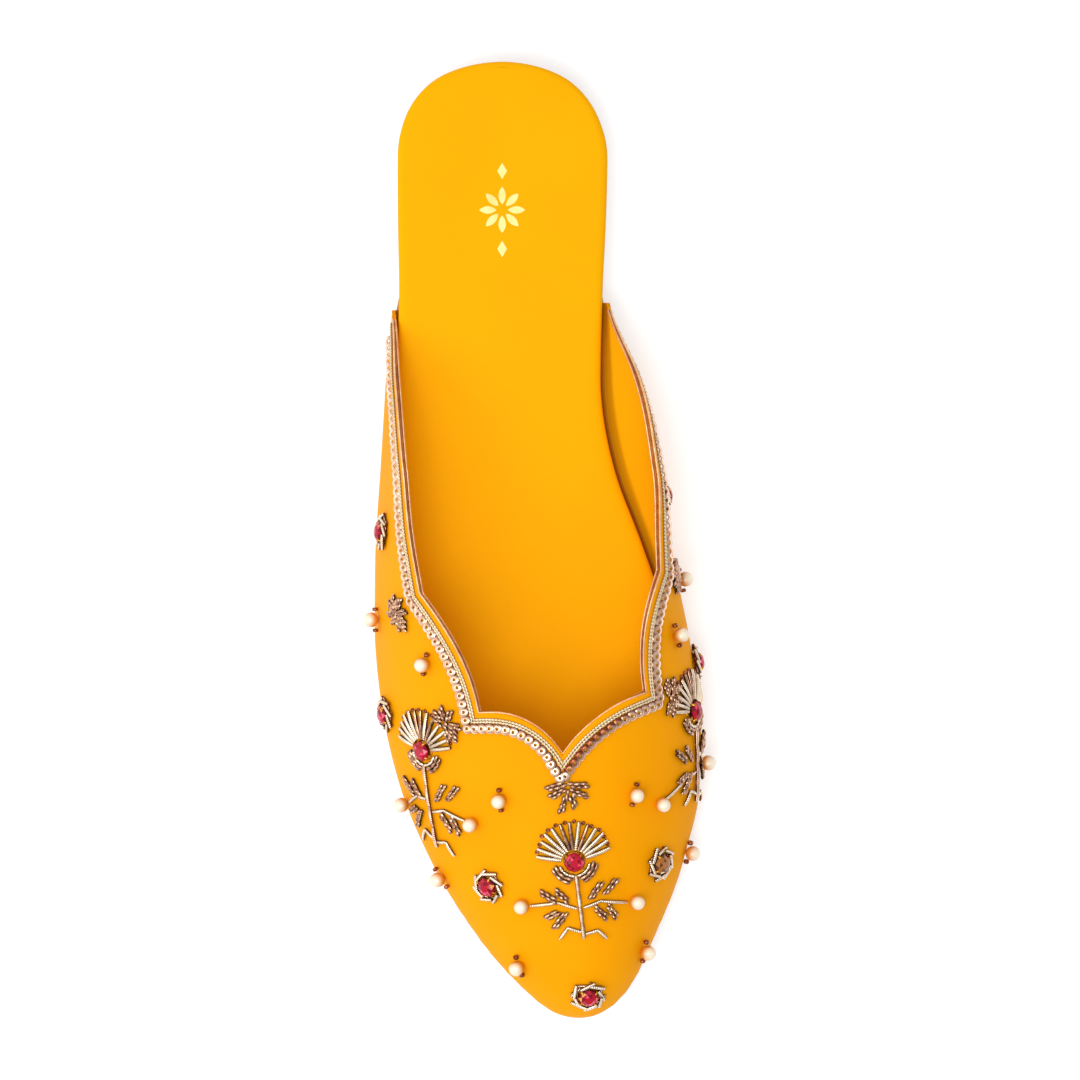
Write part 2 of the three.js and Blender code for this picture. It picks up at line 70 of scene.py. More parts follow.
lastSections = table(
    "along crest height lateralLean medialLean shoulder",
    (60, 3, 72, -0.1, 0.1, 0.8), (70, 3.6, 72, -0.14, 0.36, 0.8), (85, 4.5, 70, -0.16, 0.7, 0.8),
    (110, 6.5, 64, -0.18, 0.78, 0.78), (130, 8.7, 56.5, -0.06, 0.58, 0.66),
    (150, 11.3, 50.5, 0.08, 0.4, 0.56), (172, 14.2, 44, 0.16, 0.36, 0.52),
    (190, 16.7, 38.8, 0.18, 0.38, 0.52), (215, 19.4, 30, 0.18, 0.24, 0.52),
    (235, 21.4, 21.8, 0.24, 0.24, 0.52), (250, 22.2, 13, 0.36, 0.36, 0.52),
    (258, 20.8, 0, 0.4, 0.4, 0.52),
)
collarCusps = table(
    "along girth foot bulge",
    (69, 0.02, 67, 4), (143.5, 0.49, 146, 3), (176, 0.7, 208, 3.8), (187.5, 1, 258, 2),
    (170.5, 1.42, 208, 3.2), (137.5, 1.6, 146, 3), (66.5, 1.98, 65, 0),
)


def lerp(a, b, t):
    return a + (b - a) * t


def smooth(x, low, high):
    t = np.clip((x - low) / (high - low), 0, 1)
    return t * t * (3 - 2 * t)


def unit(v):
    return v / np.maximum(np.linalg.norm(v, axis=-1, keepdims=True), 1e-12)


def dot(a, b):
    return np.sum(a * b, axis=-1, keepdims=True)


def runAlong(line):  # distance from the start of a line, or of each line in a stack
    steps = np.linalg.norm(np.diff(line, axis=-2), axis=-1)
    return np.concatenate((np.zeros_like(steps[..., :1]), np.cumsum(steps, axis=-1)), axis=-1)


def evenly(line, spacing):  # where to stand along a line so that the spacing is even, as index and share
    run = runAlong(line)
    return np.interp(np.arange(spacing / 2, run[-1], spacing), run, np.arange(len(line)))


def pick(rows, at):  # rows of a list read at such places, between its own rows too
    ticks = np.arange(len(rows))
    return np.stack([np.interp(at, ticks, column) for column in rows.T], -1)


def turnAt(along, length):  # distance along the foot as the angle of a half turn, which crowds both ends
    return np.arccos(np.clip(1 - 2 * along / length, -1, 1))


def alongAt(turn, length):
    return length * (1 - np.cos(turn)) / 2


def curveThrough(rows, column, length):
    at, value = turnAt(rows["along"], length), rows[column]
    gap = np.diff(at)
    rise = np.diff(value) / gap
    blend = (rise[:-1] * gap[1:] + rise[1:] * gap[:-1]) / (gap[:-1] + gap[1:])
    slope = np.concatenate((rise[:1], np.where(rise[:-1] * rise[1:] <= 0, 0, blend), rise[-1:]))

    def curve(along):
        angle = turnAt(np.asarray(along, float), length)
        i = np.searchsorted(at[1:-1], angle)
        t = np.clip((angle - at[i]) / gap[i], 0, 1)
        t2, t3 = t * t, t * t * t
        ends = (2 * t3 - 3 * t2 + 1) * value[i] + (3 * t2 - 2 * t3) * value[i + 1]
        return ends + gap[i] * ((t3 - 2 * t2 + t) * slope[i] + (t3 - t2) * slope[i + 1])
    return curve


footbedLateral = curveThrough(footbedOutline, "lateral", shoe["footbedLength"])
footbedMedial = curveThrough(footbedOutline, "medial", shoe["footbedLength"])
seatHeight = curveThrough(seatProfile, "height", shoe["length"])
crestAcross = curveThrough(lastSections, "crest", shoe["length"])
crestHeight = curveThrough(lastSections, "height", shoe["length"])
lateralLean = curveThrough(lastSections, "lateralLean", shoe["length"])
medialLean = curveThrough(lastSections, "medialLean", shoe["length"])
shoulder = curveThrough(lastSections, "shoulder", shoe["length"])


def shoeAt(across, along, height):
    parts = np.broadcast_arrays(shoe["heelAxisX"] + across, shoe["heelBackY"] - along, height)
    return np.stack(parts, -1)


# The upper's surface: girth 0 is the outer seat, 1 the crest, 2 the inner seat; depth 1 is the inside face
def upperAt(along, girth, depth=0.0):
    toeDraw = (along / shoe["length"]) ** shoe["toePull"]
    reach = along - (shoe["length"] - shoe["footbedLength"]) * toeDraw
    wall = lerp(shoe["rearWall"], shoe["wall"], smooth(along, *shoe["rearWallEnds"]))
    inset = depth * wall
    outset = shoe["wallSeat"] - shoe["wall"] + wall - inset
    crest, outer = crestAcross(along), girth <= 1
    width = np.where(outer, crest - footbedLateral(reach), footbedMedial(reach) - crest)
    span = width + outset * (1 - np.exp(-width / shoe["wallFade"]))
    full = crestHeight(along)
    height = full - inset * (1 - np.exp(-full / shoe["wallFade"]))
    rise = height * np.where(outer, shoe["lateralRise"], shoe["medialRise"])
    lean = np.where(outer, lateralLean(along), medialLean(along))
    t = np.where(outer, girth, 2 - girth)
    s = 1 - t
    x = s ** 3 * span + 3 * s * s * t * (span + rise * lean) + 3 * s * t * t * span * shoulder(along)
    y = 3 * s * s * t * rise + (3 * s * t * t + t ** 3) * height
    across = crest + np.where(outer, -x, x)
    return shoeAt(across, along - inset * toeDraw, seatHeight(along) + shoe["seamGap"] + y)


nudge = {"along": 0.2, "girth": 0.004}  # how far apart the surface is read for its tangents


def upperFrame(along, girth):  # tangent frame on the outside: ahead to the toe, right to the inner side
    byAlong, byGirth = nudge["along"], nudge["girth"]
    ahead = (upperAt(along + byAlong, girth) - upperAt(along - byAlong, girth)) / (2 * byAlong)
    around = (upperAt(along, girth + byGirth) - upperAt(along, girth - byGirth)) / (2 * byGirth)
    normal = unit(np.cross(ahead, around))
    return ahead, around, normal, unit(np.cross(normal, ahead))


def upperNormal(along, girth):
    return upperFrame(along, girth)[2]


def step(along, girth, move):  # the place after one tangent move
    ahead, around, _, right = upperFrame(along, girth)
    girthMove = dot(move, right) / dot(around, right)
    rest = move - girthMove * around
    return along + (dot(rest, ahead) / dot(ahead, ahead))[..., 0], girth + girthMove[..., 0]


def lifted(along, girth, lift):
    return upperAt(along, girth) + upperNormal(along, girth) * np.reshape(lift, (-1, 1))


# Mesh and node helpers

def feed(tree, node, inputs):  # links sockets and sets plain values
    for socket, value in inputs.items():
        target = node.inputs[socket]
        if isinstance(value, bpy.types.NodeSocket):
            tree.links.new(value, target)
        else:
            target.default_value = value


def addNode(tree, kind, inputs=None, **settings):
    made = tree.nodes.new(kind)
    for name, value in settings.items():
        setattr(made, name, value)
    feed(tree, made, inputs or {})
    return made


def colour(code):  # sRGB hex to linear
    parts = [int(code[i:i + 2], 16) / 255 for i in (1, 3, 5)]
    return [c / 12.92 if c <= 0.04045 else ((c + 0.055) / 1.055) ** 2.4 for c in parts] + [1.0]


def shade(mesh, isSmooth):
    mesh.polygons.foreach_set("use_smooth", np.full(len(mesh.polygons), isSmooth))


def plainMesh(name, points, faces, materials, faceMaterial=None, edges=(), isSmooth=True):
    mesh = bpy.data.meshes.new(name)
    mesh.from_pydata((np.asarray(points) * mm).tolist(), list(edges), faces)
    for material in materials:
        mesh.materials.append(material)
    if faceMaterial is not None:
        mesh.polygons.foreach_set("material_index", np.asarray(faceMaterial, np.int32))
    if len(faces):
        shade(mesh, isSmooth)
    mesh.update()
    return mesh


def faceOut(mesh, merge=0.0):  # turns faces outward, after points nearer than merge are joined
    shape = bmesh.new()
    shape.from_mesh(mesh)
    if merge:
        bmesh.ops.remove_doubles(shape, verts=shape.verts, dist=merge * mm)
    bmesh.ops.recalc_face_normals(shape, faces=shape.faces)
    shape.to_mesh(mesh)
    shape.free()
    return mesh


def store(mesh, name, kind, values):  # an attribute of the mesh's points
    made = mesh.attributes.new(name, kind, "POINT")
    field = "vector" if kind == "FLOAT_VECTOR" else "value"
    made.data.foreach_set(field, np.asarray(values, np.float32).ravel())


def gridFaces(rows, columns, wrap=False):  # quads of a grid, wrapped along the columns if asked
    i, j = np.meshgrid(np.arange(rows - 1), np.arange(columns if wrap else columns - 1), indexing="ij")
    k = (j + 1) % columns
    quads = np.stack((i * columns + j, i * columns + k, (i + 1) * columns + k, (i + 1) * columns + j), -1)
    return quads.reshape(-1, 4).tolist()


def joinMeshes(name, parts):
    whole, materials = bmesh.new(), []
    for part in parts:
        materials += [m for m in part.materials if m not in materials]
        slots = [materials.index(m) for m in part.materials]
        start = len(whole.faces)
        whole.from_mesh(part)
        whole.faces.ensure_lookup_table()
        for face in whole.faces[start:]:
            face.material_index = slots[face.material_index]
    mesh = bpy.data.meshes.new(name)
    whole.to_mesh(mesh)
    whole.free()
    for material in materials:
        mesh.materials.append(material)
    return mesh


def addPiece(name, mesh, slot, *nodes):
    piece = bpy.data.objects.new(name, mesh)
    bpy.context.scene.collection.objects.link(piece)
    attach(piece, "root")
    if nodes:
        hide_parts(*nodes)
    return piece


# Materials, each named for what the real one is

def newMaterial(name):
    material = bpy.data.materials.new(name)
    material.use_nodes = True
    tree = material.node_tree
    tree.nodes.clear()
    shader = addNode(tree, "ShaderNodeBsdfPrincipled")
    addNode(tree, "ShaderNodeOutputMaterial", {"Surface": shader.outputs["BSDF"]})
    return material, tree, shader


def skywardShare(tree, low, high):  # 0 to 1 as a face turns to where its skyward attribute points
    up = addNode(tree, "ShaderNodeAttribute", attribute_name="skyward").outputs["Vector"]
    normal = addNode(tree, "ShaderNodeNewGeometry").outputs["Normal"]
    facing = addNode(tree, "ShaderNodeVectorMath", {0: up, 1: normal}, operation="DOT_PRODUCT")
    limits = {"Value": facing.outputs["Value"], "From Min": low, "From Max": high}
    return addNode(tree, "ShaderNodeMapRange", limits).outputs[0]


# Polyurethane leatherette, pressed with a fine pebble: even colour, soft broad highlight, faint mottling;
# the pebble is drawn coarser than it is, to show
leather = {"cloudMm": 22.0, "fineShare": 0.6, "reliefMm": 0.06, "glossSpread": 0.06, "specular": 0.045}


def leatherette(name, light, dark, roughness, pebbleMm, bump, paintedShade=None):
    material, tree, shader = newMaterial(name)
    place = addNode(tree, "ShaderNodeTexCoord").outputs["Object"]
    cloud = addNode(tree, "ShaderNodeTexNoise",
                    {"Vector": place, "Scale": 1 / (leather["cloudMm"] * mm), "Detail": 3.0})
    pebble = addNode(tree, "ShaderNodeTexVoronoi", {"Vector": place, "Scale": 1 / (pebbleMm * mm)},
                     feature="SMOOTH_F1")
    fine = addNode(tree, "ShaderNodeTexNoise",
                   {"Vector": place, "Scale": 1 / (leather["fineShare"] * pebbleMm * mm), "Detail": 2.0})
    grain = addNode(tree, "ShaderNodeMath", {0: pebble.outputs["Distance"], 1: fine.outputs["Fac"]},
                    operation="ADD")
    relief = addNode(tree, "ShaderNodeBump", {"Strength": bump, "Distance": leather["reliefMm"] * mm,
                                              "Height": grain.outputs["Value"]})
    spread = leather["glossSpread"]
    gloss = addNode(tree, "ShaderNodeMapRange", {"Value": fine.outputs["Fac"], "To Min": roughness - spread,
                                                 "To Max": roughness + spread})
    skin = addNode(tree, "ShaderNodeMix", {0: cloud.outputs["Fac"], 6: colour(dark), 7: colour(light)},
                   data_type="RGBA").outputs[2]
    if paintedShade:  # painted shade: darker where the piece's own shade attribute says
        shadeShare = addNode(tree, "ShaderNodeAttribute", attribute_name="paintedShade").outputs["Fac"]
        skin = addNode(tree, "ShaderNodeMix", {0: shadeShare, 6: skin, 7: colour(paintedShade)},
                       data_type="RGBA").outputs[2]
    feed(tree, shader, {"Base Color": skin, "Roughness": gloss.outputs[0], "Normal": relief.outputs["Normal"],
                        "Specular IOR Level": leather["specular"]})
    return material


# Metal wire and sequins: tinted highlights, dark where they see nothing bright; ringMm is the coil's pitch,
# drawn coarser than it is, to show, and sides is a painted shade colour for faces turned from the skyward
# attribute
wireLook = {"tarnish": (0.3, 0.7), "bright": (0.4, 0.78), "ringBump": 0.5, "ringDepthMm": 0.08}


def metal(name, light, dark, roughness, ringMm=0.0, metallic=1.0, sides=None, patchMm=2.6):
    material, tree, shader = newMaterial(name)
    place = addNode(tree, "ShaderNodeTexCoord").outputs["Object"]
    tarnish = addNode(tree, "ShaderNodeTexNoise",
                      {"Vector": place, "Scale": 1 / (patchMm * mm), "Detail": 2.0})
    low, high = wireLook["tarnish"]
    share = addNode(tree, "ShaderNodeMapRange",
                    {"Value": tarnish.outputs["Fac"], "From Min": low, "From Max": high})
    skin = addNode(tree, "ShaderNodeMix", {0: share.outputs[0], 6: colour(dark), 7: colour(light)},
                   data_type="RGBA").outputs[2]
    # painted shade: faces turned away from the skyward attribute take the sides colour
    if sides:
        top = skywardShare(tree, *wireLook["bright"])
        skin = addNode(tree, "ShaderNodeMix", {0: top, 6: colour(sides), 7: skin},
                       data_type="RGBA").outputs[2]
    feed(tree, shader, {"Base Color": skin, "Metallic": metallic, "Roughness": roughness})
    if ringMm:
        length = addNode(tree, "ShaderNodeAttribute", attribute_name="wireLength")
        turns = addNode(tree, "ShaderNodeMath", {0: length.outputs["Fac"], 1: math.tau / (ringMm * mm)},
                        operation="MULTIPLY")
        ring = addNode(tree, "ShaderNodeMath", {0: turns.outputs["Value"]}, operation="SINE")
        relief = addNode(tree, "ShaderNodeBump", {"Strength": wireLook["ringBump"],
                                                  "Distance": wireLook["ringDepthMm"] * mm,
                                                  "Height": ring.outputs["Value"]})
        feed(tree, shader, {"Normal": relief.outputs["Normal"]})
    return material


# Foil-backed pressed glass: facets painted in shade, body, flash or a glint of the foil, under a clear face
glassLook = {"paintedFacetTones": ("PaintedShadeFacet", "Body", "PaintedFlash", "PaintedFoilGlint"), "roughness": 0.1, "specular": 0.35}


def facetGlass(name, *codes):
    made = []
    for depth, code in zip(glassLook["paintedFacetTones"], codes):
        material, tree, shader = newMaterial(name + depth)
        feed(tree, shader, {"Base Color": colour(code), "Roughness": glassLook["roughness"],
                            "Specular IOR Level": glassLook["specular"]})
        made.append(material)
    return made


# Lacquered glass pearl: milky on top, with a painted reflection of the warm leatherette low down, clear
# glossy skin
pearlLook = {"bright": (0.3, 1.0), "roughness": 0.3, "coat": 0.8, "coatRoughness": 0.07}


def pearlGlass(name, rim, top):
    material, tree, shader = newMaterial(name)
    high = skywardShare(tree, *pearlLook["bright"])
    tone = addNode(tree, "ShaderNodeMix", {0: high, 6: colour(rim), 7: colour(top)}, data_type="RGBA")
    feed(tree, shader, {"Base Color": tone.outputs[2], "Roughness": pearlLook["roughness"],
                        "Coat Weight": pearlLook["coat"], "Coat Roughness": pearlLook["coatRoughness"]})
    return material


# Moulded tan rubber: dull, mottled at random, with a fine spark-eroded texture
rubberLook = {"cloudMm": 14.0, "gritMm": 0.7, "gritDepthMm": 0.08, "bump": 0.35, "roughness": 0.78,
              "specular": 0.3}


def tanRubber(name, light, dark):
    material, tree, shader = newMaterial(name)
    place = addNode(tree, "ShaderNodeTexCoord").outputs["Object"]
    cloud = addNode(tree, "ShaderNodeTexNoise",
                    {"Vector": place, "Scale": 1 / (rubberLook["cloudMm"] * mm), "Detail": 4.0})
    grit = addNode(tree, "ShaderNodeTexNoise",
                   {"Vector": place, "Scale": 1 / (rubberLook["gritMm"] * mm), "Detail": 2.0})
    tone = addNode(tree, "ShaderNodeMix", {0: cloud.outputs["Fac"], 6: colour(dark), 7: colour(light)},
                   data_type="RGBA")
    relief = addNode(tree, "ShaderNodeBump", {"Strength": rubberLook["bump"], "Height": grit.outputs["Fac"],
                                              "Distance": rubberLook["gritDepthMm"] * mm})
    feed(tree, shader, {"Base Color": tone.outputs[2], "Normal": relief.outputs["Normal"],
                        "Roughness": rubberLook["roughness"], "Specular IOR Level": rubberLook["specular"]})
    return material


upperSkin = leatherette("marigoldLeatherette", "#F7A400", "#F59C00", 0.6, 0.9, 0.22)
# the lining's last colour is painted shade, for the crease beside the footbed
liningSkin = leatherette("marigoldLining", "#F7B40C", "#F3AA04", 0.66, 0.8, 0.14, "#9C5600")
footbedSkin = leatherette("marigoldFootbed", "#F7B100", "#F6AA00", 0.62, 0.8, 0.16)
boardEdge = leatherette("bondedInsoleBoard", "#BE7414", "#A8620C", 0.85, 1.4, 0.3)
soleRubber = tanRubber("mouldedTanRubber", "#C3945F", "#A87848")
roseGold = metal("roseGoldPiping", "#FFD6A8", "#F2B682", 0.36, 0.5)
copperThread = metal("copperThread", "#C07F4E", "#9A5A30", 0.4, 0.4)
# the sides colours are painted shade: low on the sides of wire and cord, and on the inner side of each sequin
goldThread = metal("paleGoldThread", "#FFF0CE", "#F3D8A4", 0.42, metallic=0.35, sides="#A67C48")
sequinFilm = metal("roseGoldSequinFilm", "#FFDFC4", "#EEB896", 0.2, metallic=0.8, sides="#84401F")
champagneWire = metal("champagneBullionWire", "#FFEED8", "#EBD0AC", 0.22, 0.55, sides="#744628")
blushWire = metal("blushBullionWire", "#FBDDC6", "#CF9F80", 0.24, 0.55, sides="#7A4A32")
bronzeWire = metal("bronzeBullionWire", "#EABC9A", "#8A5438", 0.22, sides="#40220F", patchMm=1.1)
bronzeGlass = metal("bronzeLinedSeedBead", "#B97450", "#7C4028", 0.2)
brass = metal("brassClawSetting", "#EBAA3C", "#C98722", 0.3)
# each stone's four colours: painted shade, body, painted flash, painted glint of the foil
ruby = facetGlass("foilBackedRubyGlass", "#780518", "#B80B2C", "#F04E70", "#F0A050")
topaz = facetGlass("foilBackedTopazGlass", "#5E3410", "#A8682A", "#E8B474", "#FFE6BC")
# the rim colour is a painted reflection of the leatherette, low on each pearl
pearlSkin = pearlGlass("lacqueredGlassPearl", "#DA8C34", "#FFF3DA")
foil = metal("pressedGoldFoil", "#FFE496", "#F6D077", 0.45, metallic=0.25)
print("materials made")


# The upper: a lasted sheet with a turned collar, rolled over at the edge and tucked under at the seat
upper = {
    "perLobe": (110, 52, 40, 52, 52, 110), "rows": 60, "insideRows": 30, "edgeSteps": 9,
    "clearAlong": 0.5, "clearGirth": 0.01, "foldsFromEdge": (5, 14), "foldsFromSeat": (0, 8),
    "foldEnds": (0.12, 0.88),
    "turnIn": 7.5, "turnInSoft": 1.2, "turnInLift": 0.14,
    "gatherLift": 0.05, "gatherPitch": 5.5, "gatherAt": 2.2, "gatherReach": 4.0, "gatherEnds": (214, 240),
    "gatherFromSeat": (0, 2), "finerGather": {"share": 0.6, "pitch": 3.7, "phase": 1.0},
    "allowance": 2.6, "allowanceDrop": 0.08, "allowanceThick": 0.12, "seatIn": 0.12, "seatDrop": 0.2,
    # the last three: heights over the pad between which a painted shade on the lining fades out, and how dark
    # it gets
    "paintedShadeFrom": -1.2, "paintedShadeTo": 1.4, "paintedShadeStrength": 0.56,
}
# Soft folds placed on the pattern: from and to places, half width, and how far they rise
upperFolds = table(
    "along girth alongEnd girthEnd width lift",
    (150, 0.1, 182, 0.36, 5, -0.35), (166, 0.06, 196, 0.24, 4, 0.22),
    (152, 1.92, 178, 1.7, 5, -0.35), (142, 1.95, 168, 1.82, 4, 0.24),
    (206, 0.5, 224, 0.8, 6, -0.22), (206, 1.5, 222, 1.24, 6, -0.2),
    (90, 0.1, 122, 0.26, 5, -0.35), (88, 1.9, 120, 1.76, 5, -0.4),
    (178, 0.78, 192, 0.86, 4, 0.25), (174, 1.3, 190, 1.18, 4, 0.22),
)


def collarLobes(counts):  # the scalloped edge, one lobe after another, as arrays of along, girth and foot
    lobes, flat = [], np.stack((collarCusps["along"], collarCusps["girth"] * shoe["halfGirth"]), -1)
    foot = turnAt(collarCusps["foot"], shoe["length"])
    for i, count in enumerate(counts):
        chord = unit(flat[i + 1] - flat[i])
        middle = (flat[i] + flat[i + 1]) / 2 - 2 * collarCusps["bulge"][i] * np.array((chord[1], -chord[0]))
        t = np.linspace(0, 1, count + 1)[:, None]
        line = (1 - t) ** 2 * flat[i] + 2 * t * (1 - t) * middle + t * t * flat[i + 1]
        lobes.append({"along": line[:, 0], "girth": line[:, 1] / shoe["halfGirth"],
                      "foot": alongAt(lerp(foot[i], foot[i + 1], t[:, 0]), shoe["length"])})
    return lobes


def collarLine(counts):  # the lobes joined to one line, each cusp once
    lobes = collarLobes(counts)
    ends = {key: lobes[-1][key][-1:] for key in lobes[0]}
    return {key: np.concatenate([lobe[key][:-1] for lobe in lobes] + [end]) for key, end in ends.items()}


def foldLift(along, girth):  # how far the soft folds rise over the plain surface
    lift = np.zeros_like(along)
    here = np.stack((along, girth * shoe["halfGirth"]), -1)
    for alongStart, girthStart, alongEnd, girthEnd, width, rise in zip(*upperFolds.values()):
        start = np.array((alongStart, girthStart * shoe["halfGirth"]))
        run = np.array((alongEnd, girthEnd * shoe["halfGirth"])) - start
        t = np.clip(((here - start) @ run) / (run @ run), 0, 1)
        away = np.linalg.norm(here - start - t[..., None] * run, axis=-1)
        fade = np.sin(np.pi * lerp(*upper["foldEnds"], t))  # a fold dies out towards both ends
        lift += rise * fade * np.exp(-(away / width) ** 2)
    return lift


def patternGrid(line, rows):  # places on the pattern lines that climb from the seat to the collar
    share = np.linspace(0, 1, rows + 1)[None, :]
    along, girth, foot = (line[key][:, None] for key in ("along", "girth", "foot"))
    station = lerp(foot, along, share ** 2)
    toToe = np.maximum(shoe["length"] - station, 1e-6)
    climb = share * np.sqrt((shoe["length"] - along) / toToe)
    seatGirth = np.where(girth <= 1, 0.0, 2.0)
    return station, lerp(seatGirth, girth, climb)


def rimRoll(outer, inner, angles, swell=0.0, slide=0.0):  # round the rolled edge, 0 on the outside, pi inside
    middle, half = (outer[:, -1] + inner) / 2, (outer[:, -1] - inner) / 2
    up = outer[:, -1] - outer[:, -2]
    out = unit(half)
    up = unit(up - out * dot(up, out))
    reach = (np.linalg.norm(half, axis=-1) + swell)[:, None, None]
    turn = np.asarray(angles, float)[None, :, None] + np.reshape(slide, (-1, 1, 1))
    return middle[:, None] + (np.cos(turn) * out[:, None] + np.sin(turn) * up[:, None]) * reach


def outsideFace(line):  # the outer skin with its folds, the ridge of the turned edge and gathers at the toe
    along, girth = patternGrid(line, upper["rows"])
    plain = upperAt(along, girth)
    normal = upperNormal(np.clip(along, upper["clearAlong"], shoe["length"] - upper["clearAlong"]),
                         np.clip(girth, upper["clearGirth"], 2 - upper["clearGirth"]))
    fromSeat = runAlong(plain)
    fromEdge = fromSeat[:, -1:] - fromSeat
    lift = foldLift(along, girth) * smooth(fromEdge, *upper["foldsFromEdge"])
    lift *= smooth(fromSeat, *upper["foldsFromSeat"])
    turnIn, soft = upper["turnIn"], upper["turnInSoft"]
    lift += upper["turnInLift"] * (1 - smooth(fromEdge, turnIn - soft, turnIn + soft))
    turns, finer = runAlong(plain[:, 0])[:, None] * math.tau, upper["finerGather"]
    gather = np.sin(turns / upper["gatherPitch"])
    gather = gather + finer["share"] * np.sin(turns / finer["pitch"] + finer["phase"])
    near = np.exp(-((fromSeat - upper["gatherAt"]) / upper["gatherReach"]) ** 2)
    near = near * smooth(fromSeat, *upper["gatherFromSeat"]) * smooth(along, *upper["gatherEnds"])
    lift += upper["gatherLift"] * gather * near
    return plain + normal * lift[..., None]


def makeUpper():
    line = collarLine(upper["perLobe"])
    outer = outsideFace(line)
    inner = upperAt(*patternGrid(line, upper["insideRows"]), 1.0)[:, ::-1]
    roll = rimRoll(outer, inner[:, 0], np.linspace(0, math.pi, upper["edgeSteps"] + 2)[1:-1])
    inward = unit((inner[:, -1:] - outer[:, :1]) * np.array((1, 1, 0)))
    down = np.array((0, 0, -1))
    allowance = inner[:, -1:] + inward * upper["allowance"] + down * upper["allowanceDrop"]
    under = allowance + down * upper["allowanceThick"]
    seat = outer[:, :1] + inward * upper["seatIn"] + down * upper["seatDrop"]
    loop = np.concatenate((outer, roll, inner, allowance, under, seat), axis=1)
    columns, around = loop.shape[:2]
    faces = [face[::-1] for face in gridFaces(columns, around, wrap=True)]
    caps = [list(range(around)), list(range((columns - 1) * around, columns * around))[::-1]]
    tones = np.zeros(around, int)
    tones[outer.shape[1] + roll.shape[1]:] = 1  # lining
    tones[around - 4:] = 2  # the raw edge that is tucked under
    lined = np.tile(tones, columns - 1).tolist()
    mesh = plainMesh("upper", loop.reshape(-1, 3), faces + caps, [upperSkin, liningSkin, boardEdge],
                     lined + [0, 0])
    # painted shade on the lining: darkest low by the footbed's top, gone a little over a millimetre above it
    padTop = seatHeight(shoe["heelBackY"] - loop[..., 1]) + shoe["seamGap"] + shoe["footbedThickness"]
    clear = smooth(loop[..., 2] - padTop, upper["paintedShadeFrom"], upper["paintedShadeTo"])
    store(mesh, "paintedShade", "FLOAT", upper["paintedShadeStrength"] * (1 - clear) ** 3)
    return addPiece("upper_lasted", mesh, "upper_leatherette", "upper")


makeUpper()
print("upper lasted")


# Pieces under the foot: rings of the footbed's outline, each row of an edge with its own offset and height

def outlineRings(stations, edge, ringAt):
    lateral = np.stack((footbedLateral(stations), stations), -1)
    medial = np.stack((footbedMedial(stations), stations), -1)
    ring = np.concatenate((lateral, medial[-2:0:-1]))
    tangent = unit(np.roll(ring, -1, axis=0) - np.roll(ring, 1, axis=0))
    outward = np.stack((-tangent[:, 1], tangent[:, 0]), -1)
    station = np.concatenate((stations, stations[-2:0:-1]))
    rings = []
    for row in zip(*edge.values()):
        offset, height = ringAt(station, *row)
        moved = ring + outward * offset[:, None]
        rings.append(shoeAt(moved[:, 0], moved[:, 1], height))
    return np.array(rings)


def fillRing(ring, count, across):  # rows from the outer to the inner edge of a ring
    last = count - 1
    lateral, medial = ring[:count], np.concatenate((ring[:1], ring[:last:-1], ring[last:count]))
    share = np.linspace(0, 1, across + 1)[None, :, None]
    return lateral[:, None] + (medial - lateral)[:, None] * share


def layered(name, stations, rings, across, materials, topShape=None, bottomShape=None):
    # the rings are the side, and a grid closes them above and below
    count = len(stations)
    top, bottom = fillRing(rings[-1], count, across), fillRing(rings[0], count, across)
    if topShape:
        top[..., 2] += topShape(top)
    if bottomShape:
        bottom[..., 2] += bottomShape(bottom)
    faces = gridFaces(len(rings), rings.shape[1], wrap=True)
    lids, start = gridFaces(count, across + 1), rings.size // 3
    faces += [[start + k for k in face[::-1]] for face in lids]
    faces += [[start + top.size // 3 + k for k in face] for face in lids]
    points = np.concatenate((rings.reshape(-1, 3), top.reshape(-1, 3), bottom.reshape(-1, 3)))
    return faceOut(plainMesh(name, points, faces, materials), merge=0.004)


footbed = {
    "stations": 220, "across": 36, "ease": -0.25, "fullerRoll": 0.8, "insideEnds": (64, 86),
    "toeIn": 4.0, "toeEnds": (205, 254), "top": 3.38, "boardTop": 1.9, "boardFrom": 82.0,
    "crown": 0.5, "crownPower": 2.4, "endFade": 9.0, "pressWidth": 0.24, "press": 1.4,
    "heel": {"at": 30, "reach": 17, "dip": 0.5}, "ball": {"at": 168, "reach": 24, "dip": 0.4},
}
footbedEdge = table(
    "inset height",
    (0.9, 0), (0.3, 0.25), (0.05, 0.7), (0, 1.2), (0, 2.0), (0.14, 2.5), (0.45, 2.92), (0.95, 3.2),
    (1.8, footbed["top"]),
)
foilMark = {
    "along": 40.0, "petals": 8, "petalPoints": 9, "inner": 1.5, "outer": 6.2, "width": 2.0, "fullness": 0.8,
    "lozenge": 2.2, "lozengeBreadth": 0.6, "spacing": 10.5, "rise": 0.05, "sunk": 0.3,
}


def padShape(along, share):  # height over the plain top: crowned between its edges, pressed by heel and ball
    swell = footbed["crown"] * (1 - np.abs(2 * share - 1) ** footbed["crownPower"])
    dips = [size["dip"] * np.exp(-((along - size["at"]) / size["reach"]) ** 2)
            for size in (footbed["heel"], footbed["ball"])]
    press = footbed["press"] * sum(dips) * np.exp(-((share - 0.5) / footbed["pressWidth"]) ** 2)
    fade = footbed["endFade"]
    return (swell - press) * smooth(along, 0, fade) * smooth(shoe["footbedLength"] - along, 0, fade)


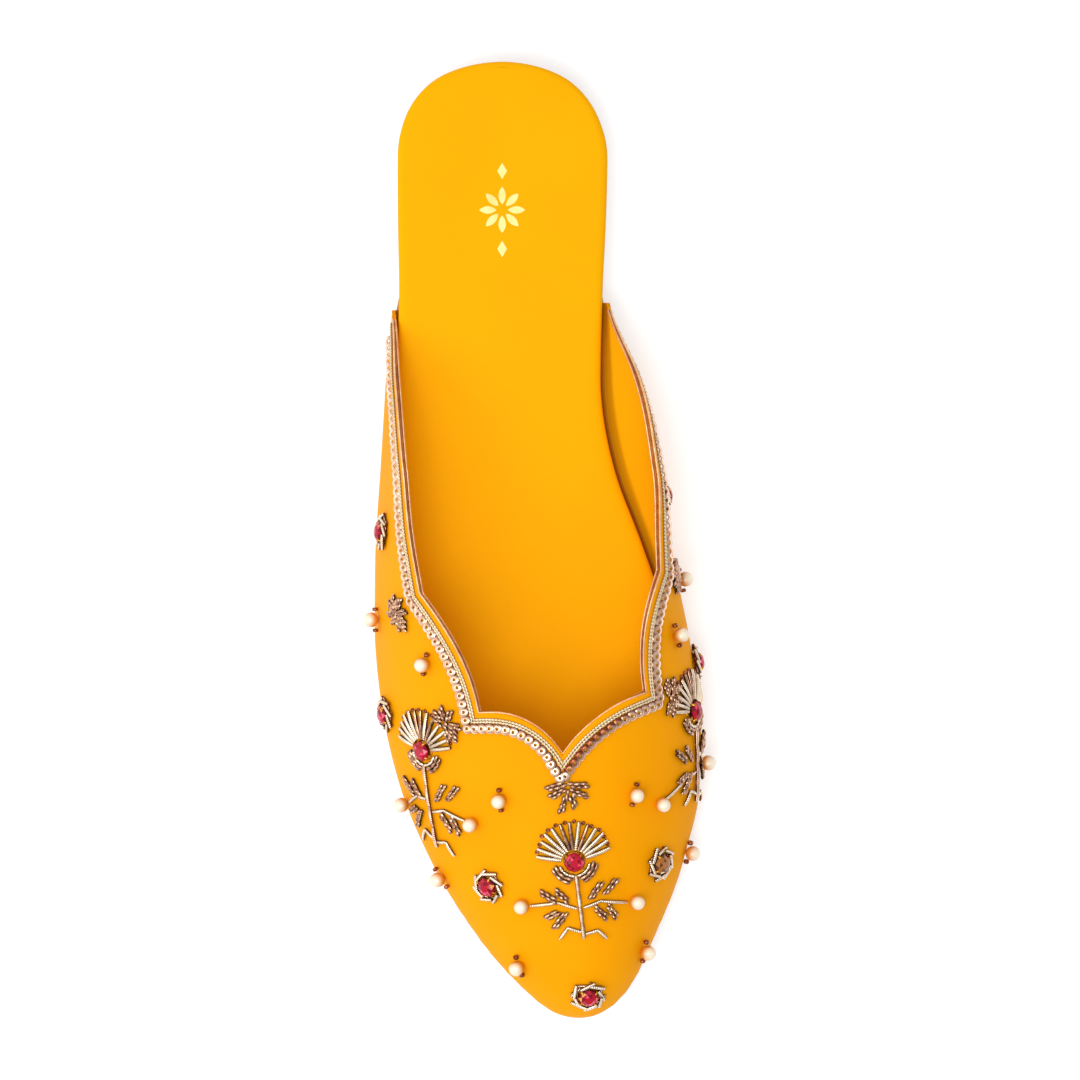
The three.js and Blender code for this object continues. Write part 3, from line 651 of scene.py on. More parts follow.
def foilOutlines():  # a rosette of petals between two lozenges, as across and along from its middle
    outlines, t = [], np.linspace(0, 1, foilMark["petalPoints"])
    reach = lerp(foilMark["inner"], foilMark["outer"], t)
    bulge = foilMark["width"] / 2 * np.sin(np.pi * t) ** foilMark["fullness"]
    reach, bulge = np.concatenate((reach, reach[-2:0:-1])), np.concatenate((bulge, -bulge[-2:0:-1]))
    for angle in math.tau / foilMark["petals"] * np.arange(foilMark["petals"]):
        outlines.append(np.stack((reach * math.cos(angle) - bulge * math.sin(angle),
                                  reach * math.sin(angle) + bulge * math.cos(angle)), -1))
    size = foilMark["lozenge"]
    half = size * foilMark["lozengeBreadth"]
    for off in (-foilMark["spacing"], foilMark["spacing"]):
        outlines.append(np.array([(0, off - size), (half, off), (0, off + size), (-half, off)], float))
    return outlines


def makeFoil():  # thin plates that follow the pad
    points, faces, start = [], [], 0
    for outline in foilOutlines():
        across, along, count = outline[:, 0], foilMark["along"] + outline[:, 1], len(outline)
        share = (across - footbedLateral(along)) / (footbedMedial(along) - footbedLateral(along))
        top = seatHeight(along) + shoe["seamGap"] + footbed["top"] + padShape(along, share)
        for level in (top + foilMark["rise"], top - foilMark["sunk"]):
            points.append(shoeAt(across, along, level))
        ring = np.arange(start, start + count)
        onward = np.roll(ring, -1)
        faces += [ring.tolist(), (ring + count)[::-1].tolist()]
        faces += np.stack((ring, ring + count, onward + count, onward), -1).tolist()
        start += 2 * count
    return faceOut(plainMesh("foil", np.concatenate(points), faces, [foil], isSmooth=False))


def makeFootbed():
    def ringAt(along, inset, height):
        inside = smooth(along, *footbed["insideEnds"])  # 1 where the upper's wall stands beside it
        room = (footbed["ease"] - inset * footbed["fullerRoll"]) * inside
        offset = room - inset - footbed["toeIn"] * smooth(along, *footbed["toeEnds"])
        return offset, seatHeight(along) + shoe["seamGap"] + height

    def padded(rows):
        return padShape(shoe["heelBackY"] - rows[..., 1], np.linspace(0, 1, rows.shape[1])[None, :])

    stations = alongAt(np.linspace(0, math.pi, footbed["stations"]), shoe["footbedLength"])
    mesh = layered("footbed", stations, outlineRings(stations, footbedEdge, ringAt), footbed["across"],
                   [footbedSkin, boardEdge], topShape=padded)
    middles = np.array([face.center[:] for face in mesh.polygons]) / mm
    along = shoe["heelBackY"] - middles[:, 1]
    low = middles[:, 2] < seatHeight(along) + shoe["seamGap"] + footbed["boardTop"]
    mesh.polygons.foreach_set("material_index", (low & (along > footbed["boardFrom"])).astype(np.int32))
    whole = joinMeshes("footbed", [mesh, makeFoil()])
    return addPiece("footbed_padded", whole, "footbed_leatherette", "footbed")


makeFootbed()
print("footbed padded")


outsole = {
    "crowded": 90, "evenEnds": (10, 246), "evenClear": 0.2, "spacing": 0.55, "across": 44,
    "reach": (-0.5, 1.5), "reachEnds": (58, 74), "breastSoft": 1.0, "groovePitch": 4.4, "grooveWidth": 1.5,
    "grooveSide": (0.25, 0.6), "grooveDepth": 0.7, "grooveBow": 7.0, "margin": 5.5, "marginSoft": 0.8,
    "forefoot": (112, 236), "heelPad": (9, 47), "padSoft": 1.5,
}
# The moulded side, from the floor up: how far each row lies in, and its share of the height
outsoleSide = table(
    "inset share",
    (1.6, 0), (1.0, 0.05), (0.6, 0.14), (0.3, 0.26), (0.1, 0.4), (0, 0.5), (0, 0.59), (0.12, 0.615),
    (0.7, 0.64), (0.7, 0.68), (0.12, 0.705), (0, 0.73), (0, 0.86), (0.1, 0.93), (0.5, 1),
)


def outsoleStations():  # even where the grooves are, crowded at both ends
    crowd = alongAt(np.linspace(0, math.pi, outsole["crowded"]), shoe["footbedLength"])
    low, high = outsole["evenEnds"]
    even = np.arange(low, high, outsole["spacing"])
    return np.concatenate((crowd[crowd < low], even, crowd[crowd > even[-1] + outsole["evenClear"]]))


def underside(along):  # height of the lower face: the floor under the heel, then arch, ball and toe spring
    breast, soft = shoe["heelBreast"], outsole["breastSoft"]
    arch = np.maximum(0, seatHeight(np.maximum(along, breast + soft)) - shoe["soleThickness"])
    return arch * np.clip((along - breast + soft) / (2 * soft), 0, 1)


def tread(rows):  # bowed grooves under ball and heel, inside a plain rim
    share = np.linspace(-1, 1, rows.shape[1])[None, :]
    along = shoe["heelBackY"] - rows[..., 1]
    width = np.linalg.norm(rows[:, -1, :2] - rows[:, 0, :2], axis=-1)[:, None]
    fromEdge = (1 - np.abs(share)) * width / 2
    bowed = (along + outsole["grooveBow"] * share ** 2) / outsole["groovePitch"]
    wave = np.abs(bowed % 1 - 0.5) * outsole["groovePitch"]
    groove = 1 - smooth(wave / outsole["grooveWidth"], *outsole["grooveSide"])
    soft = outsole["padSoft"]
    pads = sum(smooth(along, low, low + soft) * (1 - smooth(along, high - soft, high))
               for low, high in (outsole["forefoot"], outsole["heelPad"]))
    rim = smooth(fromEdge, outsole["margin"] - outsole["marginSoft"], outsole["margin"])
    return outsole["grooveDepth"] * groove * pads * rim


def makeOutsole():
    def ringAt(along, inset, share):
        reach = lerp(*outsole["reach"], smooth(along, *outsole["reachEnds"]))
        return reach - inset, lerp(underside(along), seatHeight(along), share)

    stations = outsoleStations()
    mesh = layered("outsole", stations, outlineRings(stations, outsoleSide, ringAt), outsole["across"],
                   [soleRubber], bottomShape=tread)
    return addPiece("outsole_moulded", mesh, "tan_rubber", "outsole")


makeOutsole()
print("outsole moulded")


# Geometry Nodes trees: rods and cords along lines, and beads on points

def newTree(name, sizes):
    tree = bpy.data.node_groups.new(name, "GeometryNodeTree")
    tree.interface.new_socket("Geometry", in_out="INPUT", socket_type="NodeSocketGeometry")
    for label, kind in sizes.items():
        tree.interface.new_socket(label, in_out="INPUT", socket_type="NodeSocket" + kind)
    tree.interface.new_socket("Geometry", in_out="OUTPUT", socket_type="NodeSocketGeometry")
    return tree, addNode(tree, "NodeGroupInput").outputs


def endTree(tree, geometry, material):
    whole = addNode(tree, "GeometryNodeRealizeInstances", {"Geometry": geometry})
    finish = addNode(tree, "GeometryNodeSetMaterial", {"Geometry": whole.outputs[0], "Material": material})
    addNode(tree, "NodeGroupOutput", {"Geometry": finish.outputs[0]})
    return tree


def lineTree():  # a round or lobed profile swept along each line, twisted, and thinned by its thick attribute
    tree, given = newTree("wireAlongLines", {"Radius": "Float", "Sides": "Int", "Lobes": "Float",
                                             "Lobe Depth": "Float", "Twist": "Float", "Material": "Material"})
    curve = addNode(tree, "GeometryNodeMeshToCurve", {"Mesh": given["Geometry"]})
    length = addNode(tree, "GeometryNodeSplineParameter").outputs["Length"]
    turn = addNode(tree, "ShaderNodeMath", {0: length, 1: given["Twist"]}, operation="MULTIPLY")
    twisted = addNode(tree, "GeometryNodeSetCurveTilt", {"Curve": curve.outputs[0], "Tilt": turn.outputs[0]})
    measured = addNode(tree, "GeometryNodeStoreNamedAttribute",
                       {"Geometry": twisted.outputs[0], "Name": "wireLength", "Value": length},
                       data_type="FLOAT", domain="POINT")
    ring = addNode(tree, "GeometryNodeCurvePrimitiveCircle",
                   {"Resolution": given["Sides"], "Radius": given["Radius"]})
    share = addNode(tree, "GeometryNodeSplineParameter").outputs["Factor"]
    angle = addNode(tree, "ShaderNodeMath", {0: share, 1: math.tau}, operation="MULTIPLY")
    lobes = addNode(tree, "ShaderNodeMath", {0: angle.outputs[0], 1: given["Lobes"]}, operation="MULTIPLY")
    wave = addNode(tree, "ShaderNodeMath", {0: lobes.outputs[0]}, operation="COSINE")
    swell = addNode(tree, "ShaderNodeMath", {0: wave.outputs[0], 1: given["Lobe Depth"], 2: 1.0},
                    operation="MULTIPLY_ADD")
    here = addNode(tree, "GeometryNodeInputPosition").outputs[0]
    moved = addNode(tree, "ShaderNodeVectorMath", {0: here, "Scale": swell.outputs[0]}, operation="SCALE")
    profile = addNode(tree, "GeometryNodeSetPosition",
                      {"Geometry": ring.outputs[0], "Position": moved.outputs[0]})
    thick = addNode(tree, "GeometryNodeInputNamedAttribute", {"Name": "thick"}, data_type="FLOAT")
    swept = addNode(tree, "GeometryNodeCurveToMesh",
                    {"Curve": measured.outputs[0], "Profile Curve": profile.outputs[0],
                     "Scale": thick.outputs[0], "Fill Caps": True})
    rounded = addNode(tree, "GeometryNodeSetShadeSmooth",
                      {"Geometry": swept.outputs[0], "Shade Smooth": True})
    return endTree(tree, rounded.outputs[0], given["Material"])


def pointTree():  # one bead on each point, turned and sized by the point's own attributes
    tree, given = newTree("beadsOnPoints", {"Bead": "Object", "Material": "Material"})
    bead = addNode(tree, "GeometryNodeObjectInfo", {"Object": given["Bead"], "As Instance": True})
    turn = addNode(tree, "GeometryNodeInputNamedAttribute", {"Name": "turn"}, data_type="QUATERNION")
    size = addNode(tree, "GeometryNodeInputNamedAttribute", {"Name": "size"}, data_type="FLOAT_VECTOR")
    placed = addNode(tree, "GeometryNodeInstanceOnPoints",
                     {"Points": given["Geometry"], "Instance": bead.outputs["Geometry"],
                      "Rotation": turn.outputs[0], "Scale": size.outputs[0]})
    return endTree(tree, placed.outputs[0], given["Material"])


def runTree(tree, mesh, settings):  # the evaluated result as a plain mesh
    holder = bpy.data.objects.new("holder", mesh)
    bpy.context.scene.collection.objects.link(holder)
    modifier = holder.modifiers.new("tree", "NODES")
    modifier.node_group = tree
    for item in tree.interface.items_tree:
        if item.in_out == "INPUT" and item.name in settings:
            modifier[item.identifier] = settings[item.name]
    graph = bpy.context.evaluated_depsgraph_get()
    made = bpy.data.meshes.new_from_object(holder.evaluated_get(graph))
    holder.modifiers.clear()
    bpy.data.objects.remove(holder)
    return made


wires, beads = lineTree(), pointTree()


def wireMesh(lines, radius, material, sides=8, lobes=0, lobeDepth=0.0, pitch=0.0, taper=0.0, skyward=None):
    edges, thick, start = [], [], 0
    for line in lines:
        count = len(line)
        edges += [(start + i, start + i + 1) for i in range(count - 1)]
        thick += [1 - taper] + [1.0] * (count - 2) + [1 - taper]
        start += count
    mesh = plainMesh("lines", np.concatenate(lines), [], [], edges=edges)
    store(mesh, "thick", "FLOAT", thick)
    if skyward is not None:
        store(mesh, "skyward", "FLOAT_VECTOR", np.concatenate(skyward))
    return runTree(wires, mesh, {"Radius": radius * mm, "Sides": sides, "Lobes": float(lobes),
                                 "Lobe Depth": lobeDepth, "Material": material,
                                 "Twist": math.tau / (pitch * mm) if pitch else 0.0})


def beadMesh(bead, points, turns, sizes, material, skyward=None):
    mesh = plainMesh("points", points, [], [])
    if skyward is not None:
        store(mesh, "skyward", "FLOAT_VECTOR", skyward)
    store(mesh, "turn", "QUATERNION", turns)
    store(mesh, "size", "FLOAT_VECTOR", sizes)
    return runTree(beads, mesh, {"Bead": bead, "Material": material})


def quaternions(right, ahead, normal):  # turns that carry x, y and z onto the three given directions
    axes = np.stack((right, ahead, normal), -1)
    return [list(Matrix(m.tolist()).to_quaternion()) for m in axes]


def beadShape(name, profile, segments):  # a turned bead, as an object that only the trees use
    angle = np.linspace(0, math.tau, segments, endpoint=False)
    rows = [[(r * math.cos(a), r * math.sin(a), h) for a in angle] for r, h in profile]
    faces = [face[::-1] for face in gridFaces(len(rows), segments, wrap=True)]
    mesh = plainMesh(name, np.array(rows).reshape(-1, 3), faces, [])
    return bpy.data.objects.new(name, faceOut(mesh, merge=0.002))


# Trim along the collar

trim = {
    "perLobe": (300, 140, 100, 140, 140, 300), "throatLobes": (2, 3), "throatBlend": 0.4, "rearClear": 1.2,
    "piping": {"angles": (46.0, 122.0), "radius": 0.31}, "copperLine": {"angles": (84.0,), "radius": 0.24},
    "pipingStep": 0.5, "pipingLift": 0.5, "throatSlide": 58.0,
}
cord = {
    "rows": ({"distance": 1.15, "throat": 0.85}, {"distance": 1.87, "throat": 1.57}), "lift": 0.36,
    "radius": 0.32, "sides": 10, "strands": 2, "strandDepth": 0.34, "pitch": 1.9, "step": 0.16,
}
sequin = {
    "row": {"distance": 3.65, "throat": 3.3}, "lift": 0.6, "pitch": 2.3, "segments": 16,
    "tilt": 11.0, "tiltStray": 4.0, "swayStray": 6.0, "sky": 0.9, "rise": 0.3, "seed": 5,
    # the last four tilt the painted shade across each sequin, and more at the V's inner side
    "paintedShadeTilt": 0.62, "throatPaintedShadeTilt": 1.7, "awayFrom": (1.0, 1.02), "awayTo": (1.18, 1.36),
}
# A domed sequin with its sewing hole: radius and height, out over the top and back underneath
sequinProfile = (
    (0.4, 0.3), (0.56, 0.35), (0.95, 0.26), (1.3, 0.1), (1.55, -0.06), (1.55, -0.14),
    (1.3, 0.02), (0.95, 0.18), (0.56, 0.27), (0.4, 0.22), (0.4, 0.3),
)


def nearThroat(lobe, count):  # 1 beside the V of the throat, 0 on the other lobes
    share, blend = np.linspace(0, 1, count), trim["throatBlend"]
    first, second = trim["throatLobes"]
    near = {first: smooth(share, 0, blend), second: 1 - smooth(share, 1 - blend, 1)}
    return near.get(lobe, np.zeros_like(share))


def collarRail(size, lift):  # follows the collar at a distance, nearer at the throat, mitred at its cusps
    parts, last = [], None
    for i, lobe in enumerate(collarLobes(trim["perLobe"])):
        at = nearThroat(i, len(lobe["along"]))
        edge = upperAt(lobe["along"], lobe["girth"])
        normal = upperNormal(lobe["along"], lobe["girth"])
        inward = unit(np.cross(np.gradient(edge, axis=0), normal))
        if last is not None:
            mitre = unit(last + inward[0])
            parts.append((lobe["along"][:1], lobe["girth"][:1], (mitre / dot(mitre, last))[None], at[:1]))
        parts.append((lobe["along"], lobe["girth"], inward, at))
        last = inward[-1]
    along, girth, way, near = (np.concatenate(part) for part in zip(*parts))
    distance = lerp(size["distance"], size["throat"], near)
    seat = upperAt(along, np.where(girth <= 1, 0.0, 2.0))
    drop = np.linalg.norm(upperAt(along, girth) - seat, axis=-1)
    keep = np.flatnonzero(drop > distance + trim["rearClear"])
    keep = np.arange(keep[0], keep[-1] + 1)
    along, girth = step(along[keep], girth[keep], way[keep] * distance[keep][:, None])
    return along, girth, lifted(along, girth, np.full(len(along), lift))


def makePiping():  # two rose-gold lines and a copper one between them, pushed inward round the V
    line = collarLine(trim["perLobe"])
    outer, inner = upperAt(*patternGrid(line, upper["rows"])), upperAt(line["along"], line["girth"], 1.0)
    near = [nearThroat(i, count + 1)[:-1] for i, count in enumerate(trim["perLobe"])]
    slide = np.concatenate(near + [[0.0]]) * math.radians(trim["throatSlide"])
    bound = []
    for size, material in ((trim["piping"], roseGold), (trim["copperLine"], copperThread)):
        rim = rimRoll(outer, inner, np.radians(size["angles"]), size["radius"] * trim["pipingLift"], slide)
        rails = [rim[:, k] for k in range(rim.shape[1])]
        rails = [pick(rail, evenly(rail, trim["pipingStep"])) for rail in rails]
        bound.append(wireMesh(rails, size["radius"], material))
    addPiece("edge_piping_bound", joinMeshes("edge_piping", bound), "rose_gold_piping", "edge_piping")


def makeCords():
    lines, skies = [], []
    for size in cord["rows"]:
        along, girth, rail = collarRail(size, cord["lift"])
        at = evenly(rail, cord["step"])
        lines.append(pick(rail, at))
        skies.append(unit(pick(upperNormal(along, girth), at)))
    twisted = wireMesh(lines, cord["radius"], goldThread, sides=cord["sides"], lobes=cord["strands"],
                       lobeDepth=cord["strandDepth"], pitch=cord["pitch"], skyward=skies)
    addPiece("gold_cord_twisted", twisted, "gold_thread", "gold_cord")


def makeSequins():
    film = beadShape("sequin", sequinProfile, sequin["segments"])
    along, girth, row = collarRail(sequin["row"], sequin["lift"])
    at = evenly(row, sequin["pitch"])
    spots, places = pick(row, at), pick(np.stack((along, girth), -1), at)
    way, normal = unit(np.gradient(spots, axis=0)), upperNormal(*places.T)
    draw = random.Random(sequin["seed"])
    tilt = [sequin["tilt"] + draw.uniform(-sequin["tiltStray"], sequin["tiltStray"]) for _ in at]
    sway = [draw.uniform(-sequin["swayStray"], sequin["swayStray"]) for _ in at]
    tilt, sway = np.radians(tilt)[:, None], np.radians(sway)[:, None]
    side = unit(np.cross(normal, way))
    sky = np.array((0, 0, sequin["sky"])) * (1 - normal[:, 2:]) + np.array((0, 0, sequin["rise"]))
    facing = unit(normal * np.cos(tilt) - way * np.sin(tilt) + side * np.sin(sway) + sky)
    ahead = unit(way - facing * dot(way, facing))
    turns = quaternions(np.cross(ahead, facing), ahead, facing)
    # painted shade: each sequin's film is pale where it faces bright and copper on its inner side
    around = places[:, 1]
    away = smooth(around, *sequin["awayFrom"]) * (1 - smooth(around, *sequin["awayTo"]))
    paintedShadeTilt = lerp(sequin["paintedShadeTilt"], sequin["throatPaintedShadeTilt"], away)[:, None]  # painted shade: the V's inner side shows more dark copper
    bright = unit(facing + unit(facing * dot(side, facing) - side) * paintedShadeTilt)
    sewn = beadMesh(film, spots, turns, np.ones((len(at), 3)), sequinFilm, bright)
    shade(sewn, True)
    addPiece("sequin_row", sewn, "rose_gold_sequins", "sequin_border")


makePiping()
makeCords()
makeSequins()
print("collar trimmed")


# Beadwork: how rods lie on the upper, and how they are cut and threaded
beadwork = {
    "rod": 0.6, "stemRod": 0.58, "branchRod": 0.48, "leafRod": 0.54, "rodTaper": 0.2, "leafTaper": 0.3,
    "arch": 0.18, "clear": 0.06, "skyLean": 0.6, "cut": 1.75, "cutGap": 0.09, "askew": 0.14,
    "strandSlip": 0.7, "strandsAtRoot": 0.84, "strandsAtTip": 0.98, "seed": 11,
}


def spot(at):  # one place of the upper, as arrays of along and girth
    return np.array([at[0]], float), np.array([at[1]], float)


def skyOf(normal, lean):
    return unit(normal + np.array((0, 0, lean)))


def upright(at):  # a point of the upper with its unit directions right, ahead and out
    ahead, _, normal, right = upperFrame(*spot(at))
    return upperAt(*spot(at))[0], right[0], unit(ahead)[0], normal[0]


def chartFrom(at, root):  # a place with the way down to a root and the way to its side
    normal = upperNormal(*spot(at))
    stem = upperAt(*spot(root)) - upperAt(*spot(at))
    way = unit(stem - normal * dot(stem, normal))
    return at, way, unit(np.cross(way, normal))


def walk(at, way, side, offsets, steps=10):  # places reached from one spot by walking over the surface
    offsets = np.asarray(offsets, float)
    along, girth = np.full(len(offsets), float(at[0])), np.full(len(offsets), float(at[1]))
    move = offsets[:, :1] * way + offsets[:, 1:] * side
    length = np.linalg.norm(move, axis=-1, keepdims=True)
    for _ in range(steps):
        normal = upperNormal(along, girth)
        move = unit(move - normal * dot(move, normal)) * length
        along, girth = step(along, girth, move / steps)
    return along, girth


def offsetOf(chart, place, rounds=6, pull=0.9):  # where another place lies, as down and side on the chart
    at, way, side = chart
    goal = upperAt(*spot(place))

    def flatten(move):
        return np.array((dot(move, way)[0, 0], dot(move, side)[0, 0]))

    flat = flatten(goal - upperAt(*spot(at)))
    for _ in range(rounds):
        flat = flat + flatten(goal - upperAt(*walk(*chart, flat[None]))) * pull
    return flat


def rodMesh(chart, runs, radius, material, taper, points=5):  # rods that lie on the surface, a little arched
    share = np.linspace(0, 1, points)
    starts, ends = (np.array(part, float)[:, None] for part in zip(*runs))
    places = starts + (ends - starts) * share[None, :, None]
    along, girth = walk(*chart, places.reshape(-1, 2))
    arch = beadwork["arch"] * np.sin(np.pi * share) + radius + beadwork["clear"]
    lines = lifted(along, girth, np.tile(arch, len(runs)))
    skies = skyOf(upperNormal(along, girth), beadwork["skyLean"])
    lines, skies = (list(part.reshape(len(runs), points, 3)) for part in (lines, skies))
    return wireMesh(lines, radius, material, taper=taper, skyward=skies)


def cutPieces(start, end, draw):  # short pieces threaded one after the other, each a little askew
    length, way = np.linalg.norm(end - start), unit(end - start)
    count = max(1, round(length / beadwork["cut"]))
    cross = np.array((-way[1], way[0]))
    pieces = []
    for i in range(count):
        low, high = i * length / count + beadwork["cutGap"], (i + 1) * length / count - beadwork["cutGap"]
        pieces.append([start + way * at + cross * draw.uniform(-beadwork["askew"], beadwork["askew"])
                       for at in (low, high)])
    return pieces


def leafRuns(rows, stem, draw):  # each leaf is one to three strands of cut pieces, spread a little at the tip
    runs = []
    for share, side, shareEnd, sideEnd, rods in zip(*rows.values()):
        start, end = np.array((share * stem, side)), np.array((shareEnd * stem, sideEnd))
        way = unit(end - start)
        cross = np.array((-way[1], way[0]))
        for k in range(int(rods)):
            off = k - (rods - 1) / 2
            slip = way * off * beadwork["strandSlip"]
            runs += cutPieces(start + cross * off * beadwork["strandsAtRoot"] + slip,
                              end + cross * off * beadwork["strandsAtTip"] + slip, draw)
    return runs


# Beads as radius and height, for a radius of 1
pearlArc = [(math.cos(t), math.sin(t)) for t in np.linspace(-1.3, 1.3, 13)]
pearlBead = beadShape("pearlBead", [(0.0, -1), (0.14, -0.985)] + pearlArc + [(0.14, 0.985), (0.0, 1)], 22)
seedBead = beadShape("seedBead", [(0.3, -0.42), (0.8, -0.52), (1.0, 0), (0.8, 0.52), (0.3, 0.42),
                                  (0.3, -0.42)], 10)
cup = beadShape("claspCup", [(0.0, 0.0), (0.94, 0.0), (1.0, 0.1), (1.0, 0.42), (0.93, 0.48), (0.86, 0.4),
                             (0.0, 0.38)], 20)


def seedMesh(spots, turns, radius):
    return beadMesh(seedBead, spots, turns, np.full((len(spots), 3), radius), bronzeGlass)


# Stones: rings of a chaton as radius, height and turn, and which painted tones each kind of facet may have
chaton = {
    "radius": 2.85, "sides": 8, "tall": 1.05, "sink": 0.95,
    "rings": ((0.4, 0.54, 0.0), (0.74, 0.4, 0.5), (0.98, 0.12, 0.0), (0.98, 0.0, 0.0)),
    "paintedFacetTones": ((0, 1, 2), (0, 1, 1), (1, 1, 2, 3), (0, 0, 1)),
}
setting = {
    "radius": 3.05, "lift": 0.12, "claws": 4, "clawRadius": 0.32, "clawTaper": 0.35,
    "clawBend": ((0, 0.5), (0.05, 1.15), (-0.35, 1.7), (-0.7, 1.95)),
}


def cutStone(base, right, ahead, normal, glass, draw):  # table, two rows of crown facets and a girdle
    n, points = chaton["sides"], []
    for reach, height, shift in chaton["rings"]:
        for angle in (np.arange(n) + shift) * math.tau / n:
            flat = (right * math.cos(angle) + ahead * math.sin(angle)) * reach
            points.append(base + (flat + normal * height * chaton["tall"]) * chaton["radius"])
    faces, tones = [list(range(n))], [1]
    for i in range(n):
        j = (i + 1) % n
        faces += [[i, n + i, j], [j, n + i, n + j], [n + i, 2 * n + j, n + j], [n + i, 2 * n + i, 2 * n + j],
                  [2 * n + i, 3 * n + i, 3 * n + j, 2 * n + j]]
        # each facet takes one painted tone: shade, body, flash or foil glint
        tones += [draw.choice(paintedFacetTones) for paintedFacetTones in chaton["paintedFacetTones"]] + [0]
    faces.append(list(range(3 * n, 4 * n))[::-1])
    return faceOut(plainMesh("chaton", points, faces, glass, tones + [0], isSmooth=False))


def stoneMeshes(at, glass, draw):  # a faceted stone in a brass cup with claws bent over its girdle
    point, right, ahead, normal = upright(at)
    turn = quaternions(right[None], ahead[None], normal[None])
    rim, base = setting["radius"], point + normal * setting["lift"]
    parts = [beadMesh(cup, [base], turn, [(rim, rim, rim)], brass),
             cutStone(base + normal * chaton["sink"], right, ahead, normal, glass, draw)]
    claws = []
    for i in range(setting["claws"]):
        angle = math.tau * (i + 0.5) / setting["claws"]
        spoke = right * math.cos(angle) + ahead * math.sin(angle)
        claws.append(np.array([base + spoke * (rim + out) + normal * up for out, up in setting["clawBend"]]))
    return parts + [wireMesh(claws, setting["clawRadius"], brass, taper=setting["clawTaper"])]


# Rosettes: a stone in a wreath of bright rods over darker ones that lean the other way
rosettes = {
    "rosette_outer_rear": (126.8, 0.19), "rosette_outer_ball": (176, 0.18), "rosette_outer_toe": (222, 0.55),
    "rosette_toe": (251.6, 1.06), "rosette_inner_toe": (216, 1.54), "rosette_inner_ball": (162, 1.87),
    "rosette_inner_rear": (117, 1.8),
}
topazRosettes = ("rosette_inner_toe",)
wreath = {
    "rods": 8, "rod": 0.56, "inner": 3.7, "outer": 4.9, "sweep": 56.0, "tail": 1.3, "tip": 0.6,
    "jitter": 0.3, "startStray": 0.08, "endStray": 0.1,
    "under": {"rod": 0.42, "outer": 4.6, "inner": 3.5, "lift": 0.4},
}


def makeRosettes():
    draw, under = random.Random(beadwork["seed"]), wreath["under"]
    for name, at in rosettes.items():
        point, right, ahead, normal = upright(at)
        bright, dark = [], []
        for i in range(wreath["rods"]):
            a = math.tau * i / wreath["rods"] + draw.uniform(-wreath["startStray"], wreath["startStray"])
            b = a + math.radians(wreath["sweep"]) + draw.uniform(-wreath["endStray"], wreath["endStray"])
            start, end = (right * math.cos(t) + ahead * math.sin(t) for t in (a, b))
            stray = draw.uniform(-wreath["jitter"], wreath["jitter"])
            tail = point + start * (wreath["inner"] + stray) + normal * wreath["tail"]
            tip = point + end * (wreath["outer"] + stray) + normal * wreath["tip"]
            bright.append(tail + (tip - tail) * np.linspace(0, 1, 4)[:, None])
            low, far = (point + normal * under["lift"] + spoke * under[key]
                        for spoke, key in ((start, "outer"), (end, "inner")))
            dark.append(low + (far - low) * np.linspace(0, 1, 3)[:, None])
        sky = skyOf(normal, beadwork["skyLean"])
        parts = []
        for lines, radius, wire in ((bright, wreath["rod"], champagneWire), (dark, under["rod"], blushWire)):
            skies = [np.tile(sky, (len(line), 1)) for line in lines]
            parts.append(wireMesh(lines, radius, wire, taper=beadwork["rodTaper"], skyward=skies))
        parts += stoneMeshes(at, topaz if name in topazRosettes else ruby, draw)
        addPiece(name + "_wreath", joinMeshes(name, parts), "champagne_rods", name)


# Pearls: place, and the heading of their seed beads from the foot's line; None is a pearl at a branch's end
pearls = {
    "pearl_outer_wall": (150.5, 0.17, 8), "pearl_outer_lobe": (162.2, 0.51, -22),
    "pearl_outer_vamp": (198.6, 0.735, -6), "pearl_outer_feather": (219.8, 0.2, 12),
    "pearl_outer_toe": (243.4, 0.48, -20), "pearl_inner_vamp": (197.2, 1.32, -14),
    "pearl_inner_lobe": (154.7, 1.63, 10), "pearl_inner_wall": (140, 1.83, 0),
    "pearl_inner_toe": (239.6, 1.66, 18), "pearl_inner_feather": (213, 1.85, 24),
    "pearl_toe_branch_outer": (227, 0.71, None), "pearl_toe_branch_inner": (226, 1.39, None),
    "pearl_outer_branch_upper": (205, 0.585, None), "pearl_outer_branch_lower": (199.8, 0.16, None),
    "pearl_inner_branch_upper": (199.8, 1.46, None), "pearl_inner_branch_lower": (189, 1.84, None),
}
pearl = {"radius": 2.05, "lift": 0.1, "skyLean": 1.2, "seedReach": 2.85, "seedLift": 0.9, "seedRadius": 0.86}


def makePearls():
    for name, (along, girth, heading) in pearls.items():
        point, right, ahead, normal = upright((along, girth))
        centre = point + normal * (pearl["radius"] + pearl["lift"])
        angle = math.radians(heading or 0)
        hole = ahead * math.cos(angle) + right * math.sin(angle)
        across = np.cross(normal, hole)
        turn = quaternions(across[None], np.cross(hole, across)[None], hole[None])
        size, sky = np.full((1, 3), pearl["radius"]), skyOf(normal, pearl["skyLean"])
        parts = [beadMesh(pearlBead, [centre], turn, size, pearlSkin, [sky])]
        shade(parts[0], True)
        if heading is not None:
            reach = pearl["seedReach"]
            ends = [point + hole * by + normal * pearl["seedLift"] for by in (-reach, reach)]
            parts.append(seedMesh(ends, turn * 2, pearl["seedRadius"]))
        addPiece(name + "_sewn", joinMeshes(name, parts), "pearl", name)


